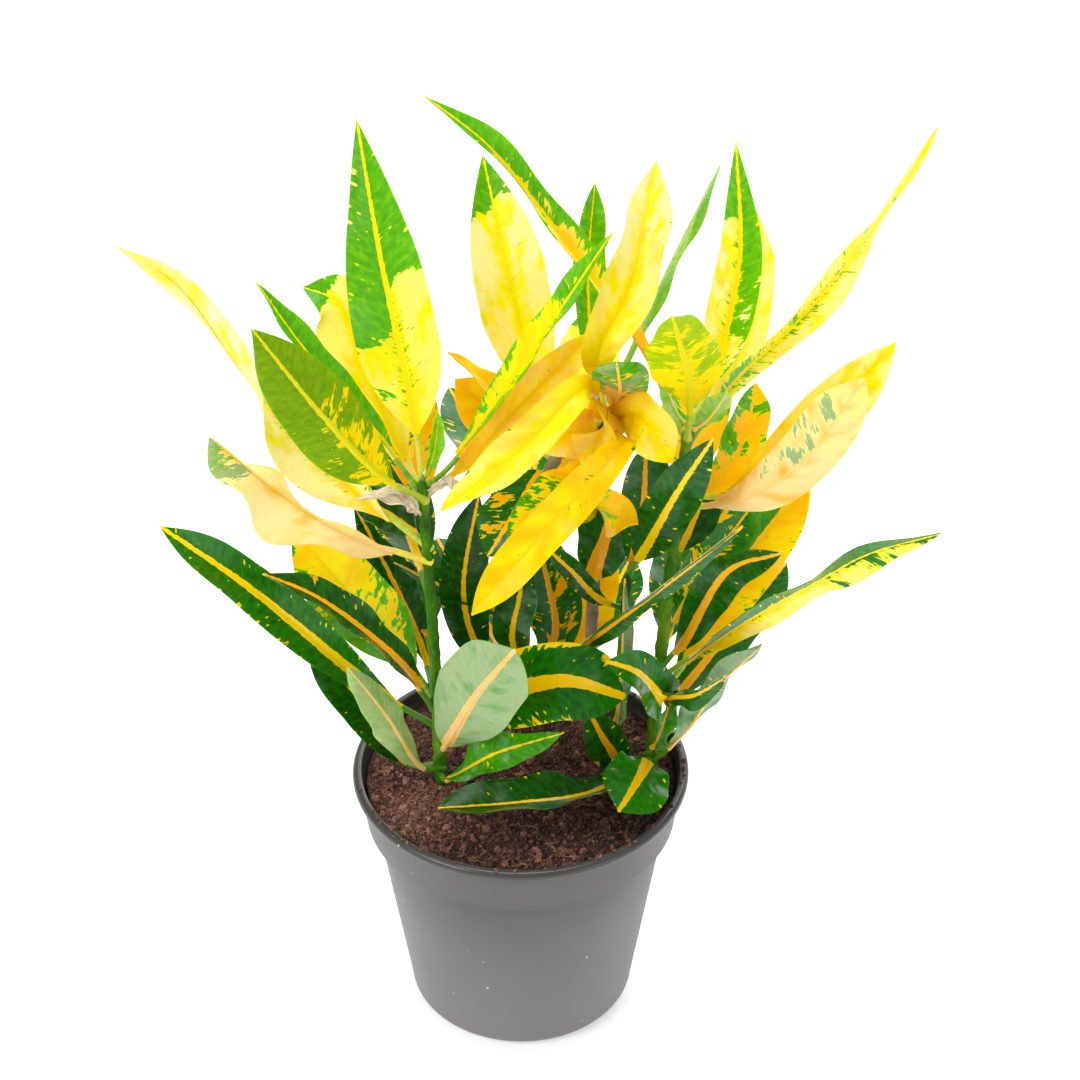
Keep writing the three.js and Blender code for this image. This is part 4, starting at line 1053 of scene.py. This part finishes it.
def layBed(edge, peat):
    deselectAll()
    bpy.ops.mesh.primitive_cylinder_add(
        vertices=soilForm["sides"], radius=edge * mm, depth=soilForm["depth"] * mm,
        location=(0, 0, (soilForm["level"] - soilForm["depth"] / 2) * mm))
    bed = begin("soil_bed")
    bpy.ops.object.transform_apply(location=True)
    pickTopFace(bed)
    ring = edge / (soilForm["rings"] + 0.5)
    for _ in range(soilForm["rings"]):
        bpy.ops.mesh.inset(thickness=ring * mm)
    bpy.ops.mesh.poke()
    bpy.ops.object.mode_set(mode="OBJECT")
    corners = cornersOf(bed.data) / mm
    for corner in corners:
        if corner[2] > soilForm["level"] - 0.1:
            corner[2] = soilTop(corner[0], corner[1])
        else:
            corner[:2] *= soilForm["footShare"]
    setCorners(bed.data, corners * mm)
    placePiece(bed, "soil", [peat])
    bpy.ops.object.shade_smooth()
    print("soil bed", len(bed.data.polygons))


def scatterSoil(edge, peat, light, bark, fibre):
    dice = random.Random(41)

    def somewhere(inset, above=0.0):
        radius = (edge - inset) * math.sqrt(dice.random())
        turn = dice.uniform(0, fullTurn)
        x, y = radius * math.cos(turn), radius * math.sin(turn)
        return [x, y, soilTop(x, y) + above]

    def anyTurns():
        return [dice.uniform(0, fullTurn) for _ in range(3)]

    def leanings(first, second):
        return [dice.uniform(-first, first), dice.uniform(-second, second), dice.uniform(0, 6.3)]

    def crumbSpot():
        x, y, top = somewhere(1)
        size = 0.3 + 1.2 * dice.random() ** 3  # few large, many small
        return [x, y, top + 0.15 * size], [size * dice.uniform(0.7, 1.2) for _ in range(3)], anyTurns()

    def grainSpot():
        x, y, top = somewhere(0.6)
        size = dice.uniform(0.16, 0.5)
        place = [x, y, top + 0.25 + 0.5 * dice.random()]
        return place, [size * dice.uniform(0.6, 1.6) for _ in range(3)], anyTurns()

    def straySpot():
        # on top of the pot's rim
        turn = dice.uniform(0, fullTurn)
        radius = potForm["rimRadius"] - 2 - dice.uniform(-0.7, 0.9)
        size = dice.uniform(0.25, 0.95)
        place = [radius * math.cos(turn), radius * math.sin(turn), potForm["height"] + 0.3 * size]
        return place, [size, size * 0.8, size * 0.7], anyTurns()

    def chipSpot():
        place = somewhere(3, 0.3)
        length = dice.uniform(0.8, 2.6)
        return place, [length, length * dice.uniform(0.35, 0.7), dice.uniform(0.2, 0.5)], leanings(0.5, 0.5)

    def fibreSpot():
        place = somewhere(4, 0.25)
        thick = dice.uniform(0.09, 0.2)
        return place, [dice.uniform(1.2, 4), thick * 2.2, thick], leanings(0.6, 0.25)

    deselectAll()
    bpy.ops.mesh.primitive_uv_sphere_add(segments=7, ring_count=5, radius=1)
    crumb = begin("crumbModel")
    lumps = cornersOf(crumb.data)
    for corner in lumps:
        corner *= 1 + 0.9 * noise.noise(Vector(corner * 2.1))
    setCorners(crumb.data, lumps)
    scatterCopies("soil_crumbs", crumb, soilForm["clods"], crumbSpot, [peat, light, peat, bark])
    deselectAll()
    bpy.ops.mesh.primitive_ico_sphere_add(subdivisions=1, radius=1)
    grain = begin("gritModel")
    scatterCopies("soil_grit", grain, soilForm["grit"], grainSpot, [peat, bark, peat, light])
    scatterCopies("rim_crumbs", crumb, soilForm["strays"], straySpot, [light, bark])
    deselectAll()
    bpy.ops.mesh.primitive_cube_add(size=2)
    chip = begin("chipModel")
    applyModifier(chip, "BEVEL", width=0.35, segments=1)
    splinter = cornersOf(chip.data)
    splinter[:, 1] *= 1 - 0.35 * splinter[:, 0] ** 2
    setCorners(chip.data, splinter)
    scatterCopies("soil_bark_chips", chip, soilForm["chips"], chipSpot, [bark, light])
    deselectAll()
    bpy.ops.mesh.primitive_cylinder_add(vertices=4, radius=1, depth=2, rotation=(0, math.pi / 2, 0))
    hair = begin("fibreModel")
    bpy.ops.object.transform_apply(rotation=True)
    cutRod(hair, 8)
    curl = cornersOf(hair.data)
    curl[:, 1] += 3.5 * np.sin(curl[:, 0] * 2.1)
    curl[:, 2] += 2.2 * (1 - curl[:, 0] ** 2) + 0.8 * np.sin(curl[:, 0] * 5)
    setCorners(hair.data, curl)
    scatterCopies("soil_fibres", hair, soilForm["fibres"], fibreSpot, [fibre, light])
    for model in (crumb, grain, chip, hair):
        bpy.data.objects.remove(model)


def fillSoil():
    tones = [peatSkin(name, stops, grain) for name, (stops, grain) in peatTones.items()]
    edge = potForm["collarFoot"] - potForm["wall"] - soilForm["edgeGap"] + soilForm["overlap"]
    layBed(edge, tones[0])
    scatterSoil(edge, *tones)


setUpCamera()
setUpStudio()
stemRoutes = {name: routeThrough(cutting["route"]) for name, cutting in cuttings.items()}
mouldPot()
fillSoil()
growStems(stemRoutes)
growLeaves(stemRoutes)
